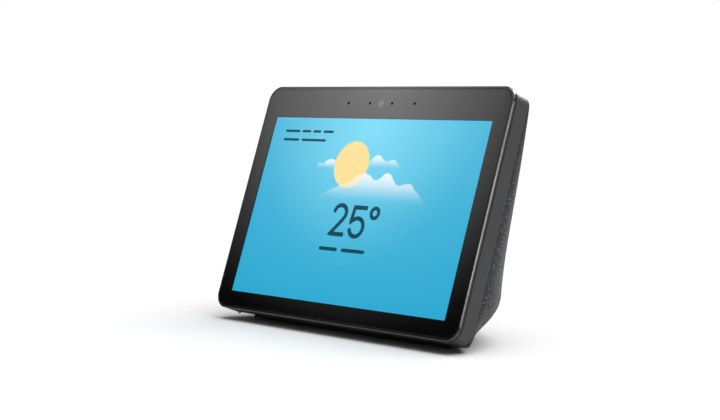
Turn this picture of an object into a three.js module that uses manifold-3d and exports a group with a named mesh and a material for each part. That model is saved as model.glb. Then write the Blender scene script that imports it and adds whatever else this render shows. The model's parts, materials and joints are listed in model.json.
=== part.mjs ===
// A ten-inch smart display: a touch screen that leans back in a rounded plastic band, on a
// fabric-covered casing with two side speakers and a passive radiator in its rear wall.
// Millimetres, +Z up. The screen faces -Y, and the origin is the middle of the footprint, on the table.

import * as THREE from 'three';
import { mergeVertices } from 'three/addons/utils/BufferGeometryUtils.js';
import Module from 'manifold-3d';

const wasm = await Module();
wasm.setup();

// Face and lean
const lean = THREE.MathUtils.degToRad(19.5);
const faceWidth = 246;
const faceHeight = 173.2;
const faceRadius = 11;
const faceBottom = { y: -53.5, z: 9.2 };
const gap = 0.3;

// Depths behind the face plane, measured square to it
const glassThickness = 1.1;
const trimWidth = 1.8;
const trimChamfer = 1.3;
const trimBack = 2.3;
const seamBack = 3.1;
const bandBack = 15;
const wall = 2.2;

// Screen
const screenWidth = 217;
const screenHeight = 135.6;
const screenMiddle = 81.2;
const panelBorder = 4.5;
const panelFront = glassThickness + gap;
const panelBack = 3.6;
const sensorHeight = 160.4;
const microphoneOffsets = [-33.3, -11.2, 11.2, 33.3];
const microphoneHole = 1.1;

// Casing behind the band
const casingBottom = 3.3;
const casingRound = 29.5;
const tuckPower = 2;
const sideTuck = 30;
const rearTuck = 18;
const rearTop = { y: 19.6, z: 165.8 };
const rearSlope = 0.234;
const rearBulge = 3;
const fabricThickness = 1;
const shellOutside = fabricThickness + gap;
const shellInside = shellOutside + 2.5;
const footInset = 12;
const footSetback = 6;
const footHalfWidth = 100;
const baseTop = 5.8;

// Electronics, as depths behind the face and heights up the face
const bracket = { front: 4.4, back: 5.4, halfWidth: 116, low: 6, high: 155 };
const board = { front: 9, back: 10.2, halfWidth: 75, low: 88, high: 150 };
const ribbon = { left: 22, right: 48, thickness: 0.2 };
const buttonDepth = 9;
const buttonTravel = 0.8;
const buttonPositions = { mute_button: -27, volume_down_button: 0, volume_up_button: 27 };

// Sound
const box = { bottom: 12, top: 84, rear: 27, front: 17, coverBack: 19.4, wall: 2.4, inset: 5.5, side: 116 };
const driverTurn = THREE.MathUtils.degToRad(45);
const driverHeight = 46.6;
const baffleDistance = 70.6;
const driverOffset = 65.2;
const driverHole = 22.8;
const radiatorHeight = 54;
const radiatorHole = 22.6;

// Sockets
const bay = { halfWidth: 24, low: 11, high: 27, floor: 38, wall: 1.8 };
const socketHeight = 19;
const socketOffset = 11;

const finishes = {
  glass: { color: 0x0b0c0e, roughness: 0.06, metalness: 0 },
  trim: { color: 0x2a2b2d, roughness: 0.25, metalness: 0.3 },
  band: { color: 0x3b3c3e, roughness: 0.45, metalness: 0 },
  display: { color: 0x39bfe6, roughness: 0.3, metalness: 0 },
  steel: { color: 0xb7babd, roughness: 0.35, metalness: 0.9 },
  circuit: { color: 0x14532f, roughness: 0.6, metalness: 0 },
  shield: { color: 0xc4c6c8, roughness: 0.3, metalness: 0.9 },
  aluminium: { color: 0xa9acb0, roughness: 0.4, metalness: 0.9 },
  film: { color: 0x9a6a22, roughness: 0.4, metalness: 0 },
  lens: { color: 0x101418, roughness: 0.05, metalness: 0 },
  module: { color: 0x1b1c1e, roughness: 0.5, metalness: 0 },
  fabric: { color: 0x53575c, roughness: 0.95, metalness: 0 },
  shell: { color: 0x232426, roughness: 0.6, metalness: 0 },
  rubber: { color: 0x161718, roughness: 0.9, metalness: 0 },
  magnet: { color: 0x6f7276, roughness: 0.4, metalness: 0.8 },
  cone: { color: 0x1d1e20, roughness: 0.7, metalness: 0 },
  brass: { color: 0xc9a24a, roughness: 0.3, metalness: 0.9 },
  lead: { color: 0x0f0f10, roughness: 0.6, metalness: 0 },
};

// ---------- Solids ----------

function solid(geometry) {
  geometry.deleteAttribute('normal');
  geometry.deleteAttribute('uv');
  const merged = mergeVertices(geometry);
  const vertProperties = Float32Array.from(merged.attributes.position.array);
  const triVerts = Uint32Array.from(merged.index.array);
  return new wasm.Manifold(new wasm.Mesh({ numProp: 3, vertProperties, triVerts }));
}

function geometryOf(body) {
  const { vertProperties, triVerts } = body.getMesh();
  const geometry = new THREE.BufferGeometry();
  geometry.setAttribute('position', new THREE.BufferAttribute(vertProperties, 3));
  geometry.setIndex(new THREE.BufferAttribute(triVerts, 1));
  geometry.computeVertexNormals();
  return geometry;
}

function join(first, ...others) {
  return others.reduce((whole, other) => whole.add(other), first);
}

function cut(first, ...tools) {
  return tools.reduce((rest, tool) => rest.subtract(tool), first);
}

function common(first, ...others) {
  return others.reduce((shared, other) => shared.intersect(other), first);
}

function extruded(shape, depth, curveSegments) {
  return new THREE.ExtrudeGeometry(shape, { depth, bevelEnabled: false, curveSegments });
}

// A shape drawn in X and Z, with its depth along +Y.
function slab(shape, front, back, curveSegments = 3) {
  const geometry = extruded(shape, back - front, curveSegments);
  return solid(geometry.rotateX(Math.PI / 2).translate(0, back, 0));
}

// A shape drawn in X and Y, with its height along +Z.
function plate(shape, bottom, top, curveSegments = 2) {
  return solid(extruded(shape, top - bottom, curveSegments).translate(0, 0, bottom));
}

// A shape drawn in Y and Z, with its width along +X.
function crossways(shape, left, right) {
  const geometry = extruded(shape, right - left, 1);
  return solid(geometry.rotateX(Math.PI / 2).rotateZ(Math.PI / 2).translate(left, 0, 0));
}

function block([left, right], [front, back], [low, high]) {
  const geometry = new THREE.BoxGeometry(right - left, back - front, high - low);
  return solid(geometry.translate((left + right) / 2, (front + back) / 2, (low + high) / 2));
}

function rod(radius, start, end, sides = 8) {
  const from = new THREE.Vector3(...start);
  const along = new THREE.Vector3(...end).sub(from);
  const geometry = new THREE.CylinderGeometry(radius, radius, along.length(), sides);
  const turn = new THREE.Quaternion().setFromUnitVectors(new THREE.Vector3(0, 1, 0), along.clone().normalize());
  const middle = from.addScaledVector(along, 0.5);
  return solid(geometry.applyQuaternion(turn).translate(middle.x, middle.y, middle.z));
}

// A closed profile of [radius, height along Y] points, turned about Y.
function turned(profile, sides = 16) {
  const points = profile.map(([radius, height]) => new THREE.Vector2(radius, height));
  return solid(new THREE.LatheGeometry(points, sides));
}

function tube(points, radius, steps) {
  const section = new THREE.Shape().absarc(0, 0, radius, 0, 2 * Math.PI);
  const extrudePath = new THREE.CatmullRomCurve3(points.map((point) => new THREE.Vector3(...point)));
  return solid(new THREE.ExtrudeGeometry(section, { steps, extrudePath, curveSegments: 4 }));
}

// One closed body through a stack of rings, listed upwards, each with the same number of points.
function loft(rings) {
  const count = rings[0].length;
  const top = (rings.length - 1) * count;
  const faces = [];
  for (let level = 0; level < top; level += count) {
    for (let i = 0; i < count; i++) {
      const here = level + i;
      const next = level + ((i + 1) % count);
      faces.push(here, next, next + count, here, next + count, here + count);
    }
  }
  for (let i = 1; i < count - 1; i++) {
    faces.push(0, i + 1, i, top, top + i, top + i + 1);
  }
  const geometry = new THREE.BufferGeometry().setFromPoints(rings.flat());
  return geometry.setIndex(faces);
}

function roundedRectangle(width, height, radius, x = 0, y = 0) {
  const right = x + width / 2 - radius;
  const left = x - width / 2 + radius;
  const top = y + height / 2 - radius;
  const bottom = y - height / 2 + radius;
  const quarter = Math.PI / 2;
  const shape = new THREE.Shape();
  shape.absarc(right, bottom, radius, -quarter, 0);
  shape.absarc(right, top, radius, 0, quarter);
  shape.absarc(left, top, radius, quarter, 2 * quarter);
  shape.absarc(left, bottom, radius, 2 * quarter, 3 * quarter);
  return shape;
}

function polygon(points) {
  return new THREE.Shape(points.map(([x, y]) => new THREE.Vector2(x, y)));
}

// ---------- Shared forms ----------

// The outline of the face, in X and height up the face.
function outline(inset) {
  const width = faceWidth - 2 * inset;
  const height = faceHeight - 2 * inset;
  return roundedRectangle(width, height, faceRadius - inset, 0, faceHeight / 2);
}

const leaning = new THREE.Matrix4()
  .makeRotationX(-lean)
  .setPosition(0, faceBottom.y, faceBottom.z);

function leanBack(body) {
  return body.transform(leaning.elements);
}

// Y of the plane that lies this depth behind the face, at height z.
function planeY(depth, z) {
  return faceBottom.y + (z - faceBottom.z) * Math.tan(lean) + depth / Math.cos(lean);
}

const apexZ = faceBottom.z
  + (rearTop.y + rearSlope * (rearTop.z - faceBottom.z) - planeY(bandBack, faceBottom.z))
  / (rearSlope + Math.tan(lean));

function rearY(z) {
  const drop = (rearTop.z - z) / (rearTop.z - casingBottom);
  return rearTop.y + (rearTop.z - z) * rearSlope + rearBulge * 4 * drop * (1 - drop);
}

// Half of a superellipse that bulges from the band's rear plane, square at the top and rounder below.
// Near the table it tucks in, except where it meets the band.
function casingSection(z, inset) {
  const steps = 20;
  const front = planeY(bandBack, z);
  const power = 2 / (1.85 + ((z - 35.8) / 110) ** 2);
  const lowness = THREE.MathUtils.clamp((casingBottom + casingRound - z) / casingRound, 0, 1);
  const tuck = lowness ** tuckPower;
  const points = [new THREE.Vector3(inset - faceWidth / 2, front - 6, z)];
  points.push(new THREE.Vector3(faceWidth / 2 - inset, front - 6, z));
  for (let i = 0; i <= steps; i++) {
    const angle = (Math.PI * i) / steps;
    const side = Math.cos(angle);
    const rear = Math.max(Math.sin(angle), 0);
    const clear = tuck * (1 - (1 - rear) ** 4);
    const halfWidth = faceWidth / 2 - inset - sideTuck * clear;
    const depth = rearY(z) - front - inset - rearTuck * clear;
    const x = halfWidth * Math.sign(side) * Math.abs(side) ** power;
    points.push(new THREE.Vector3(x, front + depth * rear ** power, z));
  }
  return points;
}

// The whole casing at some inset, from a depth behind the face backwards.
function casing(inset, front, bottom = casingBottom) {
  const roundSteps = 4;
  const wallSteps = 6;
  const top = apexZ - (inset + 0.4) / (rearSlope + Math.tan(lean));
  const shoulder = casingBottom + casingRound;
  const levels = bottom < casingBottom ? [bottom] : [];
  for (let i = 0; i < roundSteps; i++) {
    levels.push(casingBottom + casingRound * (1 - Math.cos((Math.PI / 2) * (i / roundSteps))));
  }
  for (let i = 0; i <= wallSteps; i++) {
    levels.push(shoulder + (top - shoulder) * (i / wallSteps));
  }
  const form = solid(loft(levels.map((z) => casingSection(z, inset))));
  return common(form, leanBack(slab(outline(inset), front, 140)));
}

// ---------- Front ----------

function coverGlass() {
  const sheet = slab(outline(trimWidth + gap), 0, glassThickness);
  const holes = microphoneOffsets.map((x) => (
    rod(microphoneHole, [x, -1, sensorHeight], [x, 2, sensorHeight], 12)
  ));
  return cut(sheet, ...holes);
}

// A ring round the glass, chamfered on the outside, with a ledge under the glass.
function frontTrim() {
  const ring = (inset, depth) => outline(inset).getPoints(3).map((p) => new THREE.Vector3(p.x, p.y, -depth));
  const form = loft([ring(0, trimBack), ring(0, trimChamfer), ring(trimWidth, 0)]).rotateX(Math.PI / 2);
  const ledge = trimWidth + 2;
  return cut(
    solid(form),
    slab(outline(trimWidth), -1, glassThickness + gap),
    slab(outline(ledge), 0, trimBack + 1),
  );
}

function pill(width, depth, x) {
  return roundedRectangle(width, depth, depth / 2, x, buttonDepth);
}

function frontHousing() {
  const neck = slab(outline(1.2), trimBack + gap, seamBack + 1);
  const band = slab(outline(0), seamBack, bandBack);
  const flangeBack = 4.1;
  const inside = slab(outline(wall), flangeBack, bandBack + 1);
  const windowWidth = screenWidth + 2 * panelBorder + 1.2;
  const windowHeight = screenHeight + 2 * panelBorder + 1.2;
  const window = roundedRectangle(windowWidth, windowHeight, 1, 0, screenMiddle);
  const sensorSlot = roundedRectangle(86, 9.4, 2, 0, sensorHeight);
  const openings = Object.values(buttonPositions).map((x) => plate(pill(16.6, 5.6, x), 165, 180));
  const screwHoles = bracketScrews().map(([x, z]) => rod(1.5, [x, 0, z], [x, 8, z]));
  return cut(
    join(neck, band),
    inside,
    slab(window, 0, 8),
    slab(sensorSlot, 0, 8),
    ...openings,
    ...screwHoles,
  );
}

function displayPanel() {
  const width = screenWidth + 2 * panelBorder;
  const height = screenHeight + 2 * panelBorder;
  return slab(roundedRectangle(width, height, 0.6, 0, screenMiddle), panelFront, panelBack, 1);
}

function bracketScrews() {
  const { halfWidth, low, high } = bracket;
  const corners = [];
  for (const x of [-halfWidth + 1.8, halfWidth - 1.8]) {
    corners.push([x, low + 20], [x, high - 20]);
  }
  return corners;
}

function boardScrews() {
  const corners = [];
  for (const x of [-board.halfWidth + 5, board.halfWidth - 5]) {
    corners.push([x, board.low + 5], [x, board.high - 5]);
  }
  return corners;
}

// A pressed plate with stiffening ribs and four standoffs for the main board.
function displayBracket() {
  const { front, back, halfWidth, low, high } = bracket;
  const middle = (low + high) / 2;
  const sheet = slab(roundedRectangle(2 * halfWidth, high - low, 4, 0, middle), front, back);
  const ribs = [-80, -40, 70].map((x) => block([x - 3, x + 3], [back - 0.1, back + 1.5], [low + 8, 78]));
  const standoffs = boardScrews().map(([x, z]) => rod(3, [x, back - 0.1, z], [x, board.front - gap, z]));
  const boardHoles = boardScrews().map(([x, z]) => rod(1.4, [x, back + 0.3, z], [x, board.front, z]));
  const edgeHoles = bracketScrews().map(([x, z]) => rod(1.5, [x, 0, z], [x, 8, z]));
  const ribbonSlot = block([ribbon.left - 2, ribbon.right + 2], [0, 8], [60, 68]);
  return cut(join(sheet, ...ribs, ...standoffs), ...boardHoles, ...edgeHoles, ribbonSlot);
}

function screw(headRadius, headHeight, shankRadius, length) {
  return turned([
    [0, -length],
    [shankRadius, -length],
    [shankRadius, 0],
    [headRadius, 0],
    [headRadius, headHeight],
    [0, headHeight],
  ], 8);
}

function cameraModule() {
  const body = block([-4.2, 4.2], [2.6, 6.4], [sensorHeight - 4.2, sensorHeight + 4]);
  return cut(body, rod(2, [0, 2, sensorHeight], [0, 4.4, sensorHeight]));
}

function cameraLens() {
  return turned([[0, 1.4], [2.1, 1.4], [2.1, 2.1], [1.6, 2.3], [0, 2.3]], 16);
}

function microphoneBoard() {
  const strip = slab(roundedRectangle(80, 7, 1, 0, sensorHeight), 1.4, 2.2, 2);
  const opening = rod(2.6, [0, 0, sensorHeight], [0, 4, sensorHeight], 12);
  const capsules = microphoneOffsets.map((x) => (
    block([x - 1.8, x + 1.8], [2.1, 3.2], [sensorHeight - 1.4, sensorHeight + 1.4])
  ));
  return cut(join(strip, ...capsules), opening);
}

// A pill cap that stands proud of the band, an inner flange that stops it, and a stem on its switch.
function button(x) {
  const insideTop = faceHeight - wall - gap;
  const cap = plate(pill(16, 5, x), insideTop - 0.5, faceHeight + buttonTravel);
  const flange = plate(pill(18.4, 6.4, x), insideTop - 1.3, insideTop);
  const stem = rod(1.5, [x, buttonDepth, insideTop - 3.1], [x, buttonDepth, insideTop - 1]);
  return join(cap, flange, stem);
}

function buttonBoard() {
  const strip = block([-38, 38], [6.8, 12], [163, 164]);
  const switchTop = faceHeight - wall - gap - 3.1 - buttonTravel - gap;
  const switches = Object.values(buttonPositions).map((x) => join(
    block([x - 2.2, x + 2.2], [buttonDepth - 2, buttonDepth + 2], [163.9, 165.6]),
    rod(1.2, [x, buttonDepth, 165.5], [x, buttonDepth, switchTop]),
  ));
  return join(strip, ...switches);
}

function mainBoard() {
  const { front, back, halfWidth, low, high } = board;
  const sheet = slab(roundedRectangle(2 * halfWidth, high - low, 2, 0, (low + high) / 2), front, back, 2);
  const behind = back - 0.1;
  const chips = [
    block([-8, 8], [behind, back + 1], [116, 132]),
    block([14, 24], [behind, back + 1], [110, 122]),
    block([-60, -46], [behind, back + 1.1], [108, 122]),
    block([-58, -50], [behind, back + 2.4], [130, 144]),
    block([50, 62], [behind, back + 1.4], [120, 128]),
    block([56, 66], [behind, back + 1.1], [98, 106]),
  ];
  const ribbonSocket = block([ribbon.left - 1, ribbon.right + 1], [7.4, front + 0.1], [92, 96]);
  const holes = boardScrews().map(([x, z]) => rod(1.4, [x, 0, z], [x, 20, z]));
  return cut(join(sheet, ...chips, ribbonSocket), ...holes);
}

function shieldCan() {
  const can = block([-34, 34], [board.back + gap, 12.9], [104, 140]);
  return cut(can, block([-33.4, 33.4], [board.back, 12.5], [104.6, 139.4]));
}

// A thin plate with fins, on top of the shield can.
function heatSpreader() {
  const sheet = slab(roundedRectangle(84, 46, 2, 0, 122), 13.2, 14.2, 2);
  const fins = [];
  for (let x = -36; x <= 36; x += 12) {
    fins.push(block([x - 0.6, x + 0.6], [14.1, 16.6], [102, 142]));
  }
  return join(sheet, ...fins);
}

// A flat ribbon from the back of the panel, through the bracket's slot, to its socket.
function displayRibbon() {
  const { left, right, thickness } = ribbon;
  const front = panelBack + gap;
  const back = 6.9;
  const strip = polygon([
    [front, 55],
    [front + thickness, 55],
    [front + thickness, 61],
    [back, 66.5],
    [back, 96],
    [back - thickness, 96],
    [back - thickness, 66.6],
    [front, 61.2],
  ]);
  return crossways(strip, left, right);
}

function antenna(side) {
  const outside = faceWidth / 2 - wall - gap;
  const faces = [side * outside, side * (outside - 0.8)].sort((a, b) => a - b);
  return block(faces, [5.8, 12], [95, 140]);
}

// ---------- Rear ----------

// A stretch of slots that lets the sound of a driver through, centred on the origin and facing +Y.
function soundSlots(count, pitch, height) {
  const slots = [];
  for (let i = 0; i < count; i++) {
    const x = (i - (count - 1) / 2) * pitch;
    const reach = (height / 2) * Math.sqrt(1 - (x / (height * 0.62)) ** 2);
    slots.push(block([x - 2, x + 2], [-12, 24], [-reach, reach]));
  }
  return join(...slots);
}

function driverPlace(side) {
  const matrix = new THREE.Matrix4().makeRotationZ(-side * driverTurn);
  const out = baffleDistance;
  const x = Math.sin(driverTurn) * out + Math.cos(driverTurn) * driverOffset;
  const y = Math.cos(driverTurn) * out - Math.sin(driverTurn) * driverOffset;
  return matrix.setPosition(side * x, y, driverHeight);
}

function bayMouth() {
  const { halfWidth, low, high } = bay;
  const shape = roundedRectangle(2 * (halfWidth + gap), high - low + 2 * gap, 3, 0, (low + high) / 2);
  return slab(shape, bay.floor - 2, 70, 3);
}

function fabricCover() {
  const front = bandBack + gap;
  const inner = casing(fabricThickness, front - 2, casingBottom - 1);
  return cut(casing(0, front), inner, bayMouth());
}

// The rigid casing under the fabric, with a tongue that fits inside the band.
function rearShell() {
  const front = bandBack + gap;
  const tongueInset = wall + 0.4;
  const tongue = leanBack(slab(outline(tongueInset), 12.5, front + 0.2));
  const tongueInside = leanBack(slab(outline(tongueInset + 1.5), 12, front + 0.1));
  const inner = casing(shellInside, front - 0.1, casingBottom - 1);
  const drivers = [-1, 1].map((side) => soundSlots(5, 8, 40).transform(driverPlace(side).elements));
  const radiator = soundSlots(5, 8, 40).translate(0, 40, radiatorHeight);
  const outer = join(casing(shellOutside, front), tongue);
  return cut(outer, tongueInside, inner, bayMouth(), ...drivers, radiator);
}

function baseScrews() {
  return [[-70, -22], [70, -22], [-48, 14], [48, 14]];
}

function basePlate() {
  const form = casing(shellInside + gap, bandBack + 1);
  const slice = common(form, block([-130, 130], [-60, 60], [0, baseTop]));
  const heads = baseScrews().map(([x, y]) => rod(3.4, [x, y, 0], [x, y, 4.6]));
  const shanks = baseScrews().map(([x, y]) => rod(1.8, [x, y, 0], [x, y, 10]));
  return cut(slice, ...heads, ...shanks);
}

function footPad() {
  const ring = casingSection(casingBottom, footInset).map((p) => new THREE.Vector2(p.x, p.y));
  const pad = plate(new THREE.Shape(ring), 0, casingBottom - gap);
  const front = planeY(bandBack, casingBottom) + footSetback;
  return common(pad, block([-footHalfWidth, footHalfWidth], [front, 60], [-1, 5]));
}

// A recessed tray in the rear wall, with holes in its floor for the two sockets.
function portPlate() {
  const { halfWidth, low, high, floor, wall: side } = bay;
  const middle = (low + high) / 2;
  const outside = slab(roundedRectangle(2 * halfWidth, high - low, 3, 0, middle), floor, 70, 3);
  const width = 2 * (halfWidth - side);
  const height = high - low - 2 * side;
  const inside = slab(roundedRectangle(width, height, 1.5, 0, middle), floor + side, 71, 3);
  return cut(
    common(outside, casing(0.4, bandBack)),
    inside,
    rod(4.3, [-socketOffset, 30, socketHeight], [-socketOffset, 45, socketHeight], 16),
    block([socketOffset - 5, socketOffset + 5], [30, 45], [socketHeight - 2.6, socketHeight + 2.6]),
  );
}

function powerSocket() {
  const body = block([-socketOffset - 5, -socketOffset + 5], [29, bay.floor - gap], [13, 25]);
  const sleeve = rod(4, [-socketOffset, 34, socketHeight], [-socketOffset, 40.4, socketHeight], 16);
  const bore = rod(3, [-socketOffset, 31, socketHeight], [-socketOffset, 45, socketHeight], 16);
  return cut(join(body, sleeve), bore);
}

function powerPin() {
  return rod(1, [-socketOffset, 31 + gap, socketHeight], [-socketOffset, 39.6, socketHeight], 12);
}

function serviceSocket() {
  const x = socketOffset;
  const body = block([x - 4.6, x + 4.6], [29, 40.4], [socketHeight - 2.2, socketHeight + 2.2]);
  return cut(body, block([x - 3.8, x + 3.8], [34, 42], [socketHeight - 1.3, socketHeight + 1.3]));
}

function portBoard() {
  return block([-19, 19], [27.6, 28.7], [12.5, 26]);
}

// ---------- Sound ----------

// The speaker box's form at some inset: a flat rear, two angled baffles, and the casing's curve.
function boxForm(inset, front) {
  const corner = baffleDistance * Math.SQRT2 - inset * Math.SQRT2;
  const rear = box.rear - inset;
  const side = box.side - inset;
  const plan = polygon([
    [-side, -60],
    [side, -60],
    [side, corner - side],
    [corner - rear, rear],
    [rear - corner, rear],
    [-side, corner - side],
  ]);
  const prism = plate(plan, box.bottom + inset, box.top - inset);
  return common(prism, casing(box.inset + inset, front));
}

function speakerBox() {
  const outside = boxForm(0, box.coverBack + gap);
  const inside = boxForm(box.wall, box.coverBack);
  const bosses = baseScrews().map(([x, y]) => rod(3.6, [x, y, baseTop + gap], [x, y, box.bottom + 1]));
  const holes = baseScrews().map(([x, y]) => rod(1.6, [x, y, 0], [x, y, box.bottom + 1]));
  const driverHoles = [-1, 1].map((side) => (
    rod(driverHole, [0, -8, 0], [0, 8, 0], 16).transform(driverPlace(side).elements)
  ));
  const radiatorOpening = rod(radiatorHole, [0, 20, radiatorHeight], [0, 34, radiatorHeight], 16);
  return cut(join(cut(outside, inside), ...bosses), ...holes, ...driverHoles, radiatorOpening);
}

function speakerBoxCover() {
  const behind = leanBack(block([-130, 130], [box.coverBack, 150], [-80, 250]));
  return cut(boxForm(0, box.front), behind);
}

// The driver's pieces are turned about Y, with Y = 0 on the baffle and +Y outwards.
function driverBasket() {
  const basket = turned([
    [7.6, -12.2],
    [13, -12.2],
    [22.4, -3.4],
    [22.4, 0.3],
    [25.5, 0.3],
    [25.5, 1.8],
    [21.2, 1.8],
    [21.2, -2.9],
    [12.5, -11],
    [7.6, -11],
    [7.6, -12.2],
  ]);
  const windows = [0, 1].map((turn) => (
    block([-30, 30], [-10, -4.5], [-5, 5]).rotate([0, turn * 90, 0])
  ));
  const core = rod(8, [0, -12, 0], [0, 0, 0]);
  return cut(basket, ...windows.map((window) => window.subtract(core)));
}

function driverMagnet() {
  return turned([
    [0, -19],
    [11, -19],
    [11, -12.5],
    [7.6, -12.5],
    [7.6, -17.6],
    [6, -17.6],
    [6, -12.5],
    [0, -12.5],
  ]);
}

// The cone with its dust cap, its voice coil former and its rim, in one piece.
function driverCone() {
  return turned([
    [0, -5.2],
    [3.6, -5.9],
    [6.4, -7.6],
    [6.4, -15.2],
    [7, -15.2],
    [7, -7.8],
    [15.9, 1.2],
    [17.4, 1.2],
    [17.4, 1.8],
    [15.6, 1.8],
    [6.8, -6.9],
    [3.6, -5.2],
    [0, -4.5],
  ]);
}

// A half-roll between two flat lands, resting on the cone's rim and on the frame.
function surround(innerLand, innerRoll, outerRoll, outerLand, base) {
  const thickness = 0.5;
  const steps = 3;
  const middle = (innerRoll + outerRoll) / 2;
  const radius = (outerRoll - innerRoll) / 2;
  const arc = (r, from, to) => {
    const points = [];
    for (let i = 0; i <= steps; i++) {
      const angle = from + (to - from) * (i / steps);
      points.push([middle + r * Math.cos(angle), base + r * Math.sin(angle)]);
    }
    return points;
  };
  return turned([
    [innerLand, base],
    ...arc(radius, Math.PI, 0),
    [outerLand, base],
    [outerLand, base + thickness],
    ...arc(radius + thickness, 0.15, Math.PI - 0.15),
    [innerLand, base + thickness],
    [innerLand, base],
  ]);
}

function driverSurround() {
  return surround(16, 17.8, 21.4, 24.8, 2.1);
}

// The radiator's pieces are turned about Y, with Y = 0 on the rear wall of the speaker box.
function radiatorFrame() {
  return turned([[22, 0.3], [26, 0.3], [26, 2], [22, 2], [22, 0.3]]);
}

function radiatorPlate() {
  return turned([[0, 0.4], [12, 0.4], [17.6, 0.9], [17.6, 2], [12, 2], [10, 1.4], [0, 1.4]]);
}

function radiatorSurround() {
  return surround(16.2, 18, 22, 25.2, 2.3);
}

// ---------- Leads ----------

function powerLead() {
  const end = new THREE.Vector3(60, 11.9, 93).applyMatrix4(leaning);
  return tube([
    [20.8, 29.2, 19],
    [28, 30, 24],
    [33, 30.5, 40],
    [33, 30.5, 74],
    [34, 27, 87],
    [44, 12, 90],
    [55, -4, 93],
    end.toArray(),
  ], 1.4, 28);
}

function speakerLead(side) {
  const end = new THREE.Vector3(side * 62, 11.8, 94).applyMatrix4(leaning);
  return tube([
    [side * 64, 4, box.top + gap],
    [side * 64, 3, 91],
    [side * 63, -4, 97],
    end.toArray(),
  ], 0.9, 9);
}

// ---------- Assembly ----------

function piece(name, finish, body) {
  const mesh = new THREE.Mesh(geometryOf(body), new THREE.MeshStandardMaterial(finishes[finish]));
  mesh.name = name;
  return mesh;
}

function numberedScrews(name, places, body, depth) {
  return places.map(([x, z], i) => {
    const mesh = piece(`${name}_${i + 1}`, 'steel', body);
    mesh.position.set(x, depth, z);
    return mesh;
  });
}

function frontAssembly() {
  const front = new THREE.Group();
  front.position.set(0, faceBottom.y, faceBottom.z);
  front.rotation.x = -lean;
  front.add(
    piece('cover_glass', 'glass', coverGlass()),
    piece('front_trim', 'trim', frontTrim()),
    piece('front_housing', 'band', frontHousing()),
    piece('display_panel', 'display', displayPanel()),
    piece('display_bracket', 'steel', displayBracket()),
    piece('camera_module', 'module', cameraModule()),
    piece('camera_lens', 'lens', cameraLens().translate(0, 0, sensorHeight)),
    piece('microphone_board', 'circuit', microphoneBoard()),
    piece('button_board', 'circuit', buttonBoard()),
    piece('main_board', 'circuit', mainBoard()),
    piece('shield_can', 'shield', shieldCan()),
    piece('heat_spreader', 'aluminium', heatSpreader()),
    piece('display_ribbon', 'film', displayRibbon()),
    piece('left_antenna', 'circuit', antenna(-1)),
    piece('right_antenna', 'circuit', antenna(1)),
  );
  for (const [name, x] of Object.entries(buttonPositions)) {
    front.add(piece(name, 'band', button(x)));
  }
  front.add(...numberedScrews('bracket_screw', bracketScrews(), screw(1.8, 1.2, 1.1, 2.4), bracket.back + gap));
  front.add(...numberedScrews('board_screw', boardScrews(), screw(2.4, 1.3, 1.1, 4), board.back + gap));
  return front;
}

function rearAssembly() {
  const rear = new THREE.Group();
  rear.add(
    piece('rear_shell', 'shell', rearShell()),
    piece('fabric_cover', 'fabric', fabricCover()),
    piece('base_plate', 'shell', basePlate()),
    piece('foot_pad', 'rubber', footPad()),
    piece('port_plate', 'shell', portPlate()),
    piece('power_socket', 'module', powerSocket()),
    piece('power_pin', 'brass', powerPin()),
    piece('service_socket', 'steel', serviceSocket()),
    piece('port_board', 'circuit', portBoard()),
    piece('power_lead', 'lead', powerLead()),
    piece('left_speaker_lead', 'lead', speakerLead(-1)),
    piece('right_speaker_lead', 'lead', speakerLead(1)),
    piece('speaker_box', 'module', speakerBox()),
    piece('speaker_box_cover', 'module', speakerBoxCover()),
  );
  baseScrews().forEach(([x, y], i) => {
    const mesh = piece(`base_screw_${i + 1}`, 'steel', screw(3, 1, 1.3, 6.6).rotate([-90, 0, 0]));
    mesh.position.set(x, y, 4.3);
    rear.add(mesh);
  });
  return rear;
}

function driver(name, side) {
  const group = new THREE.Group();
  group.applyMatrix4(driverPlace(side));
  group.add(
    piece(`${name}_driver_basket`, 'steel', driverBasket()),
    piece(`${name}_driver_magnet`, 'magnet', driverMagnet()),
    piece(`${name}_driver_cone`, 'cone', driverCone()),
    piece(`${name}_driver_surround`, 'rubber', driverSurround()),
  );
  return group;
}

function radiator() {
  const group = new THREE.Group();
  group.position.set(0, box.rear, radiatorHeight);
  group.add(
    piece('radiator_frame', 'module', radiatorFrame()),
    piece('radiator_plate', 'aluminium', radiatorPlate()),
    piece('radiator_surround', 'rubber', radiatorSurround()),
  );
  return group;
}

const smartDisplay = new THREE.Group();
smartDisplay.add(frontAssembly(), rearAssembly(), driver('left', -1), driver('right', 1), radiator());

export default smartDisplay;
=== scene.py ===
# A smart display on a pale studio floor: lit screen under black-edged glass, plastic band, fabric casing.
# Sizes are in millimetres in the dictionaries, and metres everywhere in the scene.

import json
import math
import bmesh
import bpy
from mathutils import Matrix, Vector
from mathutils.geometry import delaunay_2d_cdt


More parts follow.
